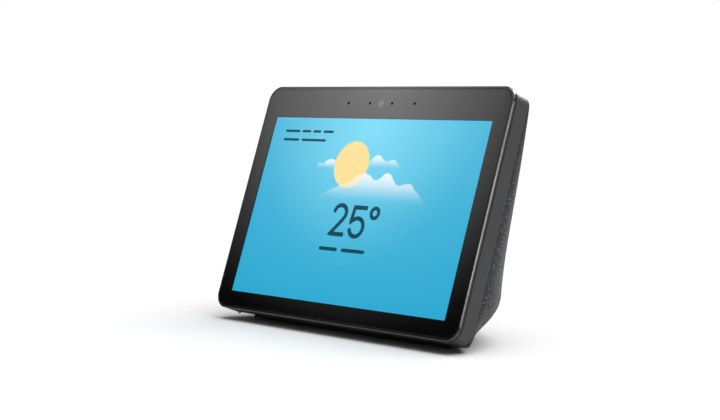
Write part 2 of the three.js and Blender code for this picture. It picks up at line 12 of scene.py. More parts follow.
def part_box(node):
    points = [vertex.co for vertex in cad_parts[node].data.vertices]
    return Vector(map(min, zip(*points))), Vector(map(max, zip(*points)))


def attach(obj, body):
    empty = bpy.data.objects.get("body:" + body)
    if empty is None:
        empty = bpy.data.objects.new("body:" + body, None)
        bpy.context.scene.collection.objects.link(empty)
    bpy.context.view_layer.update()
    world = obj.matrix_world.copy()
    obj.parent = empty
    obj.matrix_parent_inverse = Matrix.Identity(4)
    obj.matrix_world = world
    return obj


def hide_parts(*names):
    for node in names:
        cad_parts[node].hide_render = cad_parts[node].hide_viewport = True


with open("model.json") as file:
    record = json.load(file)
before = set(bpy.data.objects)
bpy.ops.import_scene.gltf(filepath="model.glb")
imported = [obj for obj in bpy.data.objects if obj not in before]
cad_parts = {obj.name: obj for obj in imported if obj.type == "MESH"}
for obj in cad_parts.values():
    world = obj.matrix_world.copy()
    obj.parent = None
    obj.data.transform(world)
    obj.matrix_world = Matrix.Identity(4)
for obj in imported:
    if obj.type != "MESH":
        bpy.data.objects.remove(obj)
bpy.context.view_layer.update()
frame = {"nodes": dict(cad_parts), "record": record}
scene = bpy.context.scene
mm = 0.001

# The face leans back: (x, depth behind the glass, height up the glass) turns into the room's axes.
face = {"width": 246, "height": 173.2, "radius": 11, "screenMiddle": 81.2}
glassMount = next(mount for mount in frame["record"]["mounts"] if mount["name"] == "glass_face")
lean = math.atan2(glassMount["axis"][2], -glassMount["axis"][1])
screenCentre = Vector(glassMount["pos_m"])
faceUp = Vector((0, math.sin(lean), math.cos(lean)))
faceBottom = screenCentre - faceUp * face["screenMiddle"] * mm
faceFrame = Matrix.Translation(faceBottom) @ Matrix.Rotation(-lean, 4, "X")
print(f"frame: {len(frame['nodes'])} nodes, the face leans {math.degrees(lean):.1f} degrees")

camera = {"lens": 79.04, "place": (0.800, -0.785, 0.169), "azimuth": 46.3, "elevation": 4.3}


def placeCamera():
    azimuth = math.radians(camera["azimuth"])
    elevation = math.radians(camera["elevation"])
    level = math.cos(elevation)
    back = Vector((math.sin(azimuth) * level, -math.cos(azimuth) * level, math.sin(elevation)))
    data = bpy.data.cameras.new("studioCamera")
    data.lens = camera["lens"]
    data.clip_start = 0.05
    data.clip_end = 60
    eye = bpy.data.objects.new("studioCamera", data)
    scene.collection.objects.link(eye)
    eye.rotation_mode = "QUATERNION"
    eye.rotation_quaternion = (-back).to_track_quat("-Z", "Y")
    eye.location = camera["place"]
    scene.camera = eye


placeCamera()

studio = {
    "room": 0.12,  # grey light from all round
    "backdrop": 1.0,
    "overhead": 3.9,
    "overheadSpread": 80,
    "overheadFrom": (0.30, 0.22, 1.0),
    "floor": (0.87, 0.87, 0.87),
    "floorReach": 14,
}

panels = {  # the place, target, size and power of each soft lamp
    "rightPanel": ((0.66, 0.16, 0.52), (0.12, 0, 0.12), (0.3, 0.4), 2.1),
    "rearPanel": ((-0.36, 1.4, 0.80), (0.1, 0, 0.12), (0.9, 0.5), 26),
    "frontPanel": ((1.34, -1.12, 0.80), (0.12, 0, 0.1), (0.4, 0.4), 6),
}


def facing(place, target):
    return (Vector(target) - Vector(place)).to_track_quat("-Z", "Y")


pieceLamps = bpy.data.collections.new("litByPanels")  # the panels light the object and leave the floor alone


def areaLight(name, place, target, size, power):
    data = bpy.data.lights.new(name, "AREA")
    data.shape = "RECTANGLE"
    data.size, data.size_y = size
    data.energy = power
    lamp = bpy.data.objects.new(name, data)
    lamp.rotation_mode = "QUATERNION"
    lamp.rotation_quaternion = facing(place, target)
    lamp.location = place
    lamp.light_linking.receiver_collection = pieceLamps
    scene.collection.objects.link(lamp)


def paintWorld():
    world = bpy.data.worlds.new("paleRoom")
    scene.world = world
    world.use_nodes = True
    tree = world.node_tree
    tree.nodes.clear()
    out = tree.nodes.new("ShaderNodeOutputWorld")
    mix = tree.nodes.new("ShaderNodeMixShader")
    path = tree.nodes.new("ShaderNodeLightPath")
    room = tree.nodes.new("ShaderNodeBackground")
    room.inputs["Strength"].default_value = studio["room"]
    backdrop = tree.nodes.new("ShaderNodeBackground")
    backdrop.inputs["Strength"].default_value = studio["backdrop"]
    for shade in (room, backdrop):
        shade.inputs["Color"].default_value = (1, 1, 1, 1)
    tree.links.new(path.outputs["Is Camera Ray"], mix.inputs["Fac"])
    tree.links.new(room.outputs["Background"], mix.inputs[1])
    tree.links.new(backdrop.outputs["Background"], mix.inputs[2])
    tree.links.new(mix.outputs["Shader"], out.inputs["Surface"])


def lightStudio():
    paintWorld()
    data = bpy.data.lights.new("overhead", "SUN")
    data.energy = studio["overhead"]
    data.angle = math.radians(studio["overheadSpread"])
    lamp = bpy.data.objects.new("overhead", data)
    lamp.rotation_mode = "QUATERNION"
    lamp.rotation_quaternion = facing(studio["overheadFrom"], (0, 0, 0))
    scene.collection.objects.link(lamp)
    for name, (place, target, size, power) in panels.items():
        areaLight(name, place, target, size, power)


lightStudio()
print("camera and lamps placed")


def link(piece):
    scene.collection.objects.link(piece)
    return piece


def shadeByAngle(mesh, degrees=32):
    mesh.shade_smooth()
    mesh.set_sharp_from_angle(angle=math.radians(degrees))


def finished(name, mesh, finishes, sharpAt=32):
    mesh.name = name
    if mesh.materials:
        mesh.materials.clear()
    for finish in finishes:
        mesh.materials.append(finish)
    shadeByAngle(mesh, sharpAt)
    return link(bpy.data.objects.new(name, mesh))


def outwards(mesh, mergeWithin=1e-7):
    bm = bmesh.new()
    bm.from_mesh(mesh)
    bmesh.ops.remove_doubles(bm, verts=bm.verts, dist=mergeWithin)
    bmesh.ops.recalc_face_normals(bm, faces=bm.faces)
    bm.to_mesh(mesh)
    bm.free()
    return mesh


# One skin through rings of points, with its two ends filled, or with the last ring joined to the first.
def loft(name, rings, finishes, matrix=None, sharpAt=32, closed=False):
    count = len(rings[0])
    points = [Vector(p) * mm for ring in rings for p in ring]
    faces = []
    stacks = len(rings) if closed else len(rings) - 1
    for level in range(stacks):
        for i in range(count):
            here = level * count
            above = (level + 1) % len(rings) * count
            after = (i + 1) % count
            faces.append((here + i, here + after, above + after, above + i))
    if not closed:
        faces.append(tuple(range(count))[::-1])
        faces.append(tuple(len(points) - count + i for i in range(count)))
    mesh = bpy.data.meshes.new(name)
    mesh.from_pydata(points, [], faces)
    if matrix is not None:
        mesh.transform(matrix)
    return finished(name, outwards(mesh), finishes, sharpAt)


# Points of a rounded rectangle, counter-clockwise from the lower right.
def roundedLoop(width, height, radius, middle=(0, 0), steps=8):
    loop = []
    for quarter, (sx, sy) in enumerate(((1, -1), (1, 1), (-1, 1), (-1, -1))):
        cx = middle[0] + sx * (width / 2 - radius)
        cy = middle[1] + sy * (height / 2 - radius)
        for i in range(steps + 1):
            angle = math.radians(-90 + 90 * quarter + 90 * i / steps)
            loop.append((cx + radius * math.cos(angle), cy + radius * math.sin(angle)))
    return loop


def circle(radius, x, y, steps):
    return [(x + radius * math.cos(math.tau * i / steps), y + radius * math.sin(math.tau * i / steps))
            for i in range(steps)]


# A closed profile of (x, y, radius) corners, each rounded to its radius.
def filleted(corners):
    profile = []
    for i, (x, y, radius) in enumerate(corners):
        here = Vector((x, y))
        before = Vector(corners[i - 1][:2]) - here
        after = Vector(corners[(i + 1) % len(corners)][:2]) - here
        if radius == 0:
            profile.append((x, y))
            continue
        half = before.angle(after) / 2
        reach = min(radius / math.tan(half), before.length * 0.49, after.length * 0.49)
        start = here + before.normalized() * reach
        end = here + after.normalized() * reach
        for step in range(5):
            t = step / 4
            point = start * (1 - t) ** 2 + here * 2 * t * (1 - t) + end * t * t
            profile.append((point.x, point.y))
    return profile


# Several loose meshes as one piece.
def joined(name, pieces):
    bm = bmesh.new()
    for piece in pieces:
        bm.from_mesh(piece.data)
    mesh = bpy.data.meshes.new(name)
    bm.to_mesh(mesh)
    bm.free()
    kept = list(pieces[0].data.materials)
    for piece in pieces:
        bpy.data.objects.remove(piece)
    return finished(name, mesh, kept)


# The piece's mesh with its modifiers worked in.
def applied(piece):
    depsgraph = bpy.context.evaluated_depsgraph_get()
    mesh = bpy.data.meshes.new_from_object(piece.evaluated_get(depsgraph))
    piece.modifiers.clear()
    piece.data = mesh
    return piece


# Keeps broad flat faces flat where they meet a small rounding.
def evenNormals(piece):
    change = piece.modifiers.new("even", "WEIGHTED_NORMAL")
    change.keep_sharp = True
    change.weight = 100
    return applied(piece)


def cutBy(piece, cutters):
    for cutter in cutters:
        change = piece.modifiers.new("cut", "BOOLEAN")
        change.operation = "DIFFERENCE"
        change.solver = "EXACT"
        change.object = cutter
    applied(piece)
    for cutter in cutters:
        bpy.data.objects.remove(cutter)
    return piece


# A closed profile of (radius, height) turned about its own upright axis.
def turned(name, profile, finishes, matrix=None, sides=40, sharpAt=32):
    bm = bmesh.new()
    verts = [bm.verts.new((radius * mm, 0, height * mm)) for radius, height in profile]
    edges = [bm.edges.new((verts[i], verts[(i + 1) % len(verts)])) for i in range(len(verts))]
    bmesh.ops.spin(bm, geom=verts + edges, axis=(0, 0, 1), cent=(0, 0, 0), steps=sides, angle=math.tau,
                   use_duplicate=False)
    bmesh.ops.remove_doubles(bm, verts=bm.verts, dist=1e-6)
    bmesh.ops.dissolve_degenerate(bm, dist=1e-7, edges=bm.edges)
    mesh = bpy.data.meshes.new(name)
    bm.to_mesh(mesh)
    bm.free()
    if matrix is not None:
        mesh.transform(matrix)
    return finished(name, outwards(mesh), finishes, sharpAt)


# A new tree with its named inputs, one geometry output, and its two end nodes.
def growTree(name, sizes):
    tree = bpy.data.node_groups.new(name, "GeometryNodeTree")
    tree.interface.new_socket(name="Geometry", in_out="INPUT", socket_type="NodeSocketGeometry")
    tree.interface.new_socket(name="Geometry", in_out="OUTPUT", socket_type="NodeSocketGeometry")
    for label, kind in sizes:
        tree.interface.new_socket(name=label, in_out="INPUT", socket_type=f"NodeSocket{kind}")
    return tree, tree.nodes.new("NodeGroupInput"), tree.nodes.new("NodeGroupOutput")


# Realize Instances and Set Material close every tree, because the export drops instances.
def endTree(tree, start, end, lastGeometry):
    real = tree.nodes.new("GeometryNodeRealizeInstances")
    coat = tree.nodes.new("GeometryNodeSetMaterial")
    tree.links.new(lastGeometry, real.inputs["Geometry"])
    tree.links.new(real.outputs["Geometry"], coat.inputs["Geometry"])
    tree.links.new(start.outputs["Material"], coat.inputs["Material"])
    tree.links.new(coat.outputs["Geometry"], end.inputs["Geometry"])


# Runs a tree with these inputs and keeps the result as a plain piece.
def grown(name, tree, values, base=None, matrix=None):
    carrier = link(bpy.data.objects.new("carrier", base or bpy.data.meshes.new("carrier")))
    change = carrier.modifiers.new("grow", "NODES")
    change.node_group = tree
    for socket in tree.interface.items_tree:
        if socket.in_out == "INPUT" and socket.name in values:
            change[socket.identifier] = values[socket.name]
    depsgraph = bpy.context.evaluated_depsgraph_get()
    mesh = bpy.data.meshes.new_from_object(carrier.evaluated_get(depsgraph))
    bpy.data.objects.remove(carrier)
    for value in values.values():
        if isinstance(value, bpy.types.Object):
            bpy.data.objects.remove(value)
    if matrix is not None:
        mesh.transform(matrix)
    return finished(name, outwards(mesh), [values["Material"]])


# A curve object through (x, y, z) points in millimetres, for a tree to read.
def profileCurve(points, cyclic=True):
    data = bpy.data.curves.new("path", "CURVE")
    data.dimensions = "3D"
    spline = data.splines.new("POLY")
    spline.points.add(len(points) - 1)
    for point, place in zip(spline.points, points):
        x, y, z = (*place, 0)[:3]
        point.co = (x * mm, y * mm, z * mm, 1)
    spline.use_cyclic_u = cyclic
    return link(bpy.data.objects.new("path", data))


# Sweeps a profile round a rectangle with rounded corners.
def frameTree():
    sizes = [("Width", "Float"), ("Height", "Float"), ("Corner Radius", "Float"), ("Corner Steps", "Int"),
             ("Profile", "Object"), ("Material", "Material")]
    tree, start, end = growTree("sweptFrame", sizes)
    rectangle = tree.nodes.new("GeometryNodeCurvePrimitiveQuadrilateral")
    corners = tree.nodes.new("GeometryNodeFilletCurve")
    corners.mode = "POLY"
    profile = tree.nodes.new("GeometryNodeObjectInfo")
    sweep = tree.nodes.new("GeometryNodeCurveToMesh")
    tree.links.new(start.outputs["Width"], rectangle.inputs["Width"])
    tree.links.new(start.outputs["Height"], rectangle.inputs["Height"])
    tree.links.new(start.outputs["Corner Radius"], corners.inputs["Radius"])
    tree.links.new(start.outputs["Corner Steps"], corners.inputs["Count"])
    tree.links.new(start.outputs["Profile"], profile.inputs["Object"])
    tree.links.new(rectangle.outputs["Curve"], corners.inputs["Curve"])
    tree.links.new(corners.outputs["Curve"], sweep.inputs["Curve"])
    tree.links.new(profile.outputs["Geometry"], sweep.inputs["Profile Curve"])
    endTree(tree, start, end, sweep.outputs["Mesh"])
    return tree


# Sweeps a profile along a drawn path.
def pipeTree():
    sizes = [("Path", "Object"), ("Profile", "Object"), ("Caps", "Bool"), ("Material", "Material")]
    tree, start, end = growTree("sweptPath", sizes)
    path = tree.nodes.new("GeometryNodeObjectInfo")
    profile = tree.nodes.new("GeometryNodeObjectInfo")
    sweep = tree.nodes.new("GeometryNodeCurveToMesh")
    tree.links.new(start.outputs["Path"], path.inputs["Object"])
    tree.links.new(start.outputs["Profile"], profile.inputs["Object"])
    tree.links.new(start.outputs["Caps"], sweep.inputs["Fill Caps"])
    tree.links.new(path.outputs["Geometry"], sweep.inputs["Curve"])
    tree.links.new(profile.outputs["Geometry"], sweep.inputs["Profile Curve"])
    endTree(tree, start, end, sweep.outputs["Mesh"])
    return tree


# Puts a copy of one piece on each point of the carrier, all turned the same way.
def seatsTree():
    sizes = [("Copy", "Object"), ("Turn", "Rotation"), ("Material", "Material")]
    tree, start, end = growTree("copiesOnSeats", sizes)
    copy = tree.nodes.new("GeometryNodeObjectInfo")
    seats = tree.nodes.new("GeometryNodeMeshToPoints")
    place = tree.nodes.new("GeometryNodeInstanceOnPoints")
    tree.links.new(start.outputs["Geometry"], seats.inputs["Mesh"])
    tree.links.new(seats.outputs["Points"], place.inputs["Points"])
    tree.links.new(start.outputs["Copy"], copy.inputs["Object"])
    tree.links.new(copy.outputs["Geometry"], place.inputs["Instance"])
    tree.links.new(start.outputs["Turn"], place.inputs["Rotation"])
    endTree(tree, start, end, place.outputs["Instances"])
    return tree


# Lays copies of one piece end to end along a drawn path, a pitch apart.
def rowTree():
    sizes = [("Path", "Object"), ("Copy", "Object"), ("Pitch", "Float"), ("Material", "Material")]
    tree, start, end = growTree("rowAlongPath", sizes)
    path = tree.nodes.new("GeometryNodeObjectInfo")
    copy = tree.nodes.new("GeometryNodeObjectInfo")
    spots = tree.nodes.new("GeometryNodeCurveToPoints")
    spots.mode = "LENGTH"
    place = tree.nodes.new("GeometryNodeInstanceOnPoints")
    tree.links.new(start.outputs["Path"], path.inputs["Object"])
    tree.links.new(start.outputs["Copy"], copy.inputs["Object"])
    tree.links.new(path.outputs["Geometry"], spots.inputs["Curve"])
    tree.links.new(start.outputs["Pitch"], spots.inputs["Length"])
    tree.links.new(spots.outputs["Points"], place.inputs["Points"])
    tree.links.new(spots.outputs["Rotation"], place.inputs["Rotation"])
    tree.links.new(copy.outputs["Geometry"], place.inputs["Instance"])
    endTree(tree, start, end, place.outputs["Instances"])
    return tree


def pointsMesh(points):
    mesh = bpy.data.meshes.new("seats")
    mesh.from_pydata([Vector(p) for p in points], [], [])
    return mesh


sweptFrame = frameTree()
sweptPath = pipeTree()
copiesOnSeats = seatsTree()
rowAlongPath = rowTree()


# A new material with a Principled shader, and short ways to add the nodes that drive it.
class Finish:
    def __init__(self, name, **values):
        self.material = bpy.data.materials.new(name)
        self.material.use_nodes = True
        self.tree = self.material.node_tree
        self.shader = self.tree.nodes["Principled BSDF"]
        for label, value in values.items():
            self.shader.inputs[label.replace("_", " ")].default_value = value
        self.coordinates = self.tree.nodes.new("ShaderNodeTexCoord")

    def node(self, kind, inputs=None, **settings):
        made = self.tree.nodes.new(f"ShaderNode{kind}")
        for label, value in settings.items():
            setattr(made, label, value)
        for label, value in (inputs or {}).items():
            if isinstance(value, bpy.types.NodeSocket):
                self.tree.links.new(value, made.inputs[label])
            else:
                made.inputs[label].default_value = value
        return made

    def math(self, operation, first, second=0.0, clamp=False):
        made = self.node("Math", {0: first, 1: second}, operation=operation, use_clamp=clamp)
        return made.outputs[0]

    # The object's own coordinates, stretched so that a pattern runs long one way.
    def stretched(self, scale=(1, 1, 1), turn=(0, 0, 0)):
        place = {"Vector": self.coordinates.outputs["Object"], "Scale": scale, "Rotation": turn}
        return self.node("Mapping", place).outputs["Vector"]

    def noise(self, scale, vector=None, detail=3.0, roughness=0.5):
        place = vector or self.coordinates.outputs["Object"]
        return self.node("TexNoise", {"Vector": place, "Scale": scale, "Detail": detail,
                                      "Roughness": roughness}).outputs["Fac"]

    def ramp(self, factor, stops):
        made = self.node("ValToRGB", {"Fac": factor})
        elements = made.color_ramp.elements
        while len(elements) < len(stops):
            elements.new(0.5)
        for element, (position, colour) in zip(elements, stops):
            element.position = position
            element.color = (*colour, 1)
        return made.outputs["Color"]

    # Turns a noise into a value from low to high.
    def spread(self, factor, low, high):
        return self.node("MapRange", {"Value": factor, "From Min": 0.25, "From Max": 0.75, "To Min": low,
                                      "To Max": high}).outputs["Result"]

    def blend(self, factor, first, second, mode="MIX"):
        made = self.node("Mix", {0: factor, 6: first, 7: second}, data_type="RGBA", blend_type=mode)
        return made.outputs[2]

    def drive(self, label, value):
        self.tree.links.new(value, self.shader.inputs[label])

    def relief(self, height, strength=0.2, distance=0.0001):
        bump = self.node("Bump", {"Height": height, "Strength": strength, "Distance": distance})
        self.drive("Normal", bump.outputs["Normal"])


def tinted(colour, share):
    return tuple(channel * share for channel in colour)


# Moulded plastic, cast or drawn metal and rubber: mottled colour, uneven gloss and a fine grain.
def grained(name, colour, spread, roughness, grain, relief, stretch=(1, 1, 1), **values):
    finish = Finish(name, **values)
    place = finish.stretched(stretch)
    mottle = finish.noise(60, place, 4)
    fine = finish.noise(grain, place, 2, 0.6)
    finish.drive("Base Color", finish.ramp(mottle, [(0.3, tinted(colour, 1 - spread)),
                                                    (0.7, tinted(colour, 1 + spread))]))
    finish.drive("Roughness", finish.spread(fine, *roughness))
    finish.relief(fine, relief)
    return finish.material


# Spark-eroded plastic: a fine even texture, with edges and broad areas a little worn and polished.
def darkPlastic(name, colour, roughness):
    finish = Finish(name, Specular_IOR_Level=0.5)
    fine = finish.noise(2600, None, 2, 0.7)
    broad = finish.noise(18, None, 3)
    edge = finish.node("NewGeometry").outputs["Pointiness"]
    worn = finish.node("MapRange", {"Value": edge, "From Min": 0.52, "From Max": 0.6}).outputs["Result"]
    base = finish.ramp(broad, [(0.3, tinted(colour, 0.9)), (0.7, tinted(colour, 1.1))])
    speckled = finish.blend(finish.spread(fine, 0, 0.35), base, (*tinted(colour, 1.7), 1))
    finish.drive("Base Color", finish.blend(worn, speckled, (*tinted(colour, 1.5), 1)))
    polished = finish.spread(finish.noise(35, None, 4), roughness - 0.05, roughness + 0.06)
    finish.drive("Roughness", finish.math("ADD", polished, finish.spread(fine, -0.04, 0.04)))
    finish.relief(fine, 0.12, 0.00006)
    return finish.material


# The printed black border: clear gloss over ink, with a faint smear.
def inkBehindGlass():
    finish = Finish("inkBehindGlass", IOR=1.52, Specular_IOR_Level=0.5)
    smear = finish.noise(22, finish.stretched((1, 1, 2.4), (0, 0.5, 0)), 5, 0.6)
    finish.drive("Base Color", finish.ramp(finish.noise(300), [(0.35, (0.0028, 0.0029, 0.0031)),
                                                               (0.65, (0.0036, 0.0037, 0.0040))]))
    finish.drive("Roughness", finish.spread(smear, 0.05, 0.10))
    finish.relief(finish.noise(9, None, 2), 0.02, 0.0002)
    return finish.material


# The clear window over the screen, coated so that it mirrors little. Its reflection of the bright card is
# painted into the screen picture instead.
def clearGlass():
    finish = Finish("clearGlass", IOR=1.18, Transmission_Weight=1.0, Base_Color=(1, 1, 1, 1))
    smear = finish.noise(22, finish.stretched((1, 1, 2.4), (0, 0.5, 0)), 5, 0.6)
    finish.drive("Roughness", finish.spread(smear, 0.0, 0.012))
    return finish.material


# A pale opaque coat over the camera. Its paleness is painted light that stands in for the light on the lens
# ring behind the glass. It is opaque, so the lens behind it stays hidden.
def paintedLitWindow():
    finish = Finish("paintedLitWindow", Specular_IOR_Level=0.5)
    dots = finish.noise(5200, None, 1)
    finish.drive("Base Color", finish.ramp(dots, [(0.3, (0.085, 0.085, 0.087)),
                                                  (0.7, (0.105, 0.105, 0.108))]))
    finish.drive("Roughness", finish.spread(finish.noise(22), 0.05, 0.08))
    return finish.material


# The back of a window, where clear gel joins it to the screen and nothing is mirrored.
def bondedFace():
    finish = Finish("bondedFace", IOR=1.0, Transmission_Weight=1.0, Roughness=0.0, Specular_IOR_Level=0.0)
    tone = finish.noise(30, None, 2)
    finish.drive("Base Color", finish.ramp(tone, [(0.3, (0.985, 0.99, 0.99)), (0.7, (1, 1, 1))]))
    return finish.material


# The cut chamfer: bare grey metal with a fine even grain.
def cutEdge():
    finish = Finish("cutEdge", Metallic=0.8, Specular_IOR_Level=0.6)
    fine = finish.noise(1800, None, 2)
    finish.drive("Base Color", finish.ramp(fine, [(0.3, (0.048, 0.048, 0.050)),
                                                  (0.7, (0.070, 0.070, 0.073))]))
    finish.drive("Roughness", finish.spread(finish.noise(40), 0.16, 0.24))
    finish.relief(fine, 0.04, 0.00003)
    return finish.material


weave = {
    "pitch": 1.5,  # one thread
    "sway": 0.4,  # how far a thread wanders
    "crown": 0.45,  # a lower value makes a thread flatter along its length
    "streak": 0.32,  # how quickly the tone changes along a thread
    "opacity": 0.95,  # how soon the threads hide the hollows between them
    "warp": (0.025, 0.027, 0.032),
    "weft": (0.048, 0.051, 0.060),
    "fleck": (0.100, 0.106, 0.120),
    # the near-black of the weave's hollows, painted shade
    "hollowShade": (0.0020, 0.0022, 0.0026),
}


# A plain weave of mixed grey threads, followed along the cloth's own UV map in metres, with painted shade in
# the hollows between the threads.
def heatherFabric():
    finish = Finish("heatherFabric", Sheen_Weight=0.12, Sheen_Roughness=0.5, Specular_IOR_Level=0.2)
    unwound = finish.coordinates.outputs["UV"]
    wander = finish.node("TexNoise", {"Vector": unwound, "Scale": 160, "Detail": 2.0}).outputs["Color"]
    reach = weave["sway"] * mm
    sway = finish.node("VectorMath", {0: wander, 1: (reach, reach, 0)}, operation="MULTIPLY").outputs[0]
    steady = finish.node("VectorMath", {0: unwound, 1: sway}, operation="ADD").outputs[0]
    counted = finish.node("VectorMath", {0: steady, "Scale": 1 / (weave["pitch"] * mm)}, operation="SCALE")
    axes = finish.node("SeparateXYZ", {0: counted.outputs[0]})
    across, along = axes.outputs["X"], axes.outputs["Y"]
    row, column = finish.math("FLOOR", along), finish.math("FLOOR", across)
    parity = finish.math("FLOORED_MODULO", finish.math("ADD", row, column), 2.0)
    hump = {}
    for label, way in (("across", across), ("along", along)):
        turn = finish.math("MULTIPLY", way, math.pi)
        hump[label] = finish.math("ABSOLUTE", finish.math("SINE", turn))
    warpOver = finish.math("MULTIPLY", hump["across"], finish.math("POWER", hump["along"], weave["crown"]))
    weftOver = finish.math("MULTIPLY", hump["along"], finish.math("POWER", hump["across"], weave["crown"]))
    height = finish.node("Mix", {0: parity, 2: warpOver, 3: weftOver}, data_type="FLOAT").outputs[0]
    slowAlong = finish.math("MULTIPLY", along, weave["streak"])
    slowAcross = finish.math("MULTIPLY", across, weave["streak"])
    longWarp = finish.node("CombineXYZ", {"X": column, "Y": slowAlong}).outputs[0]
    longWeft = finish.node("CombineXYZ", {"X": slowAcross, "Y": row}).outputs[0]
    flecks = {}
    for label, place in (("warp", longWarp), ("weft", longWeft)):
        tone = finish.node("TexNoise", {"Vector": place, "Scale": 0.93, "Detail": 1.0}).outputs["Fac"]
        flecks[label] = finish.ramp(tone, [(0.34, tinted(weave[label], 0.45)), (0.52, weave[label]),
                                           (0.68, weave["fleck"])])
    threads = finish.blend(parity, flecks["warp"], flecks["weft"])
    cloudy = finish.spread(finish.noise(55, None, 3), 0.82, 1.15)
    shaded = finish.node("VectorMath", {0: threads, "Scale": cloudy}, operation="SCALE").outputs[0]
    # Painted shade: each thread darkens down its sides, and the hollows between threads go near black,
    # following the thread's height.
    depth = finish.math("SUBTRACT", 1.0, finish.math("MULTIPLY", height, weave["opacity"], True), True)
    finish.drive("Base Color", finish.blend(depth, shaded, (*weave["hollowShade"], 1)))
    finish.drive("Roughness", finish.spread(finish.noise(1500), 0.75, 0.95))
    fibres = finish.math("MULTIPLY", finish.noise(5200, None, 2), 0.25)
    finish.relief(finish.math("ADD", height, fibres), 0.9, 0.00022)
    return finish.material


def softRubber():
    finish = Finish("softRubber", Specular_IOR_Level=0.3)
    fine = finish.noise(1400, None, 3)
    dust = finish.noise(90, None, 5, 0.7)
    finish.drive("Base Color", finish.ramp(dust, [(0.4, (0.010, 0.010, 0.011)),
                                                  (0.8, (0.030, 0.030, 0.031))]))
    finish.drive("Roughness", finish.spread(fine, 0.7, 0.9))
    finish.relief(fine, 0.3, 0.00008)
    return finish.material


# Green solder mask with copper tracks under it and pads that catch the light.
def circuitBoard():
    finish = Finish("circuitBoard", Coat_Weight=0.3)
    tracks = finish.node("TexBrick", {"Vector": finish.coordinates.outputs["Object"], "Scale": 260.0,
                                      "Mortar Size": 0.03, "Color1": (0.006, 0.055, 0.022, 1),
                                      "Color2": (0.010, 0.085, 0.034, 1), "Mortar": (0.03, 0.16, 0.06, 1)})
    pads = finish.node("TexVoronoi", {"Vector": finish.coordinates.outputs["Object"], "Scale": 420.0})
    pad = finish.math("LESS_THAN", pads.outputs["Distance"], 0.12)
    finish.drive("Base Color", finish.blend(pad, tracks.outputs["Color"], (0.62, 0.47, 0.2, 1)))
    finish.drive("Metallic", pad)
    finish.drive("Roughness", finish.spread(finish.noise(500), 0.3, 0.45))
    finish.relief(tracks.outputs["Fac"], 0.2, 0.00005)
    return finish.material


# Pressed fibre: soft mottling and fine hairs.
def paperCone():
    finish = Finish("paperCone")
    fibres = finish.noise(2400, finish.stretched((1, 1, 3)), 4, 0.7)
    finish.drive("Base Color", finish.ramp(fibres, [(0.3, (0.008, 0.008, 0.009)),
                                                    (0.75, (0.032, 0.031, 0.030))]))
    finish.drive("Roughness", finish.spread(fibres, 0.7, 0.9))
    finish.relief(fibres, 0.5, 0.0001)
    return finish.material


# Dark coated camera glass, with a painted reflection of its coating: the colour turns violet towards its
# rim.
def lensGlass():
    finish = Finish("lensGlass", IOR=1.6, Coat_Weight=1.0, Coat_Roughness=0.02)
    # painted reflection: the colour follows the viewing angle, violet where the lens is seen edge-on
    rim = finish.node("LayerWeight", {"Blend": 0.4}).outputs["Facing"]
    finish.drive("Base Color", finish.ramp(rim, [(0.0, (0.004, 0.004, 0.008)), (0.6, (0.03, 0.015, 0.05))]))
    finish.drive("Roughness", finish.spread(finish.noise(200), 0.02, 0.05))
    return finish.material


ink = inkBehindGlass()
clear = clearGlass()
litWindowPaint = paintedLitWindow()
bonded = bondedFace()
chamferMetal = cutEdge()
trimBlack = darkPlastic("trimBlack", (0.006, 0.006, 0.0062), 0.1)
thread = grained("stitchThread", (0.006, 0.0062, 0.007), 0.25, (0.7, 0.9), 4200, 0.3)
bandPlastic = darkPlastic("bandPlastic", (0.018, 0.018, 0.0185), 0.42)
shellPlastic = darkPlastic("shellPlastic", (0.014, 0.014, 0.015), 0.5)
# painted shade: the band's neck in the seam behind the trim is made near black in place of the shade in the
# gap
paintedSeamShade = darkPlastic("paintedSeamShade", (0.0015, 0.0015, 0.0016), 0.7)
blackPlastic = darkPlastic("blackPlastic", (0.008, 0.008, 0.009), 0.45)
fabric = heatherFabric()
rubber = softRubber()
boardGreen = circuitBoard()
conePaper = paperCone()
lens = lensGlass()
palePlastic = grained("palePlastic", (0.42, 0.42, 0.43), 0.06, (0.35, 0.5), 2400, 0.06)
pressedSteel = grained("pressedSteel", (0.56, 0.57, 0.58), 0.1, (0.28, 0.42), 1200, 0.08, (1, 8, 1),
                       Metallic=1.0)
aluminium = grained("brushedAluminium", (0.62, 0.63, 0.65), 0.08, (0.3, 0.45), 1500, 0.1, (1, 14, 14),
                    Metallic=1.0)
ferrite = grained("ferriteMagnet", (0.06, 0.06, 0.065), 0.25, (0.5, 0.7), 1600, 0.3, Metallic=0.4)
brass = grained("drawnBrass", (0.72, 0.5, 0.2), 0.1, (0.2, 0.35), 1800, 0.08, (6, 1, 6), Metallic=1.0)
ribbonFilm = grained("ribbonFilm", (0.34, 0.15, 0.035), 0.2, (0.25, 0.4), 700, 0.05, (30, 1, 1),
                     Coat_Weight=0.4)
leadJacket = grained("leadJacket", (0.012, 0.012, 0.013), 0.2, (0.45, 0.6), 2500, 0.12)
print("materials made")

screen = {
    "width": 217,
    "height": 135.6,
    "bleed": 1.3,  # the picture runs on a little under the ink
    "glow": 1.0,
    "frontDepth": 1.5,  # only what lies less than this behind the glass's front is lit
    "sky": [(0.0, (0.022, 0.40, 0.645)), (0.45, (0.045, 0.455, 0.690)), (0.8, (0.085, 0.52, 0.74)),
            (1.0, (0.10, 0.55, 0.77))],
    # the pale patch at the top middle of the sky is a painted reflection of the glass mirroring the bright
    # card
    "paintedGlare": {"colour": (0.21, 0.72, 0.935), "place": (-4, 62), "reach": 105, "power": 1.3},
    "skySides": {"colour": (0.020, 0.37, 0.64), "share": 0.35},
    "farCloud": (0.86, 0.95, 1.0),
    "nearCloud": (0.90, 0.97, 1.0),
    "sunThrough": 0.42,  # how much of the sun shows through the near cloud
    "sun": {"place": (-15.3, 33.6), "radius": 17.3, "colour": (0.98, 0.75, 0.31)},
    "ink": (0.0012, 0.060, 0.098),
}

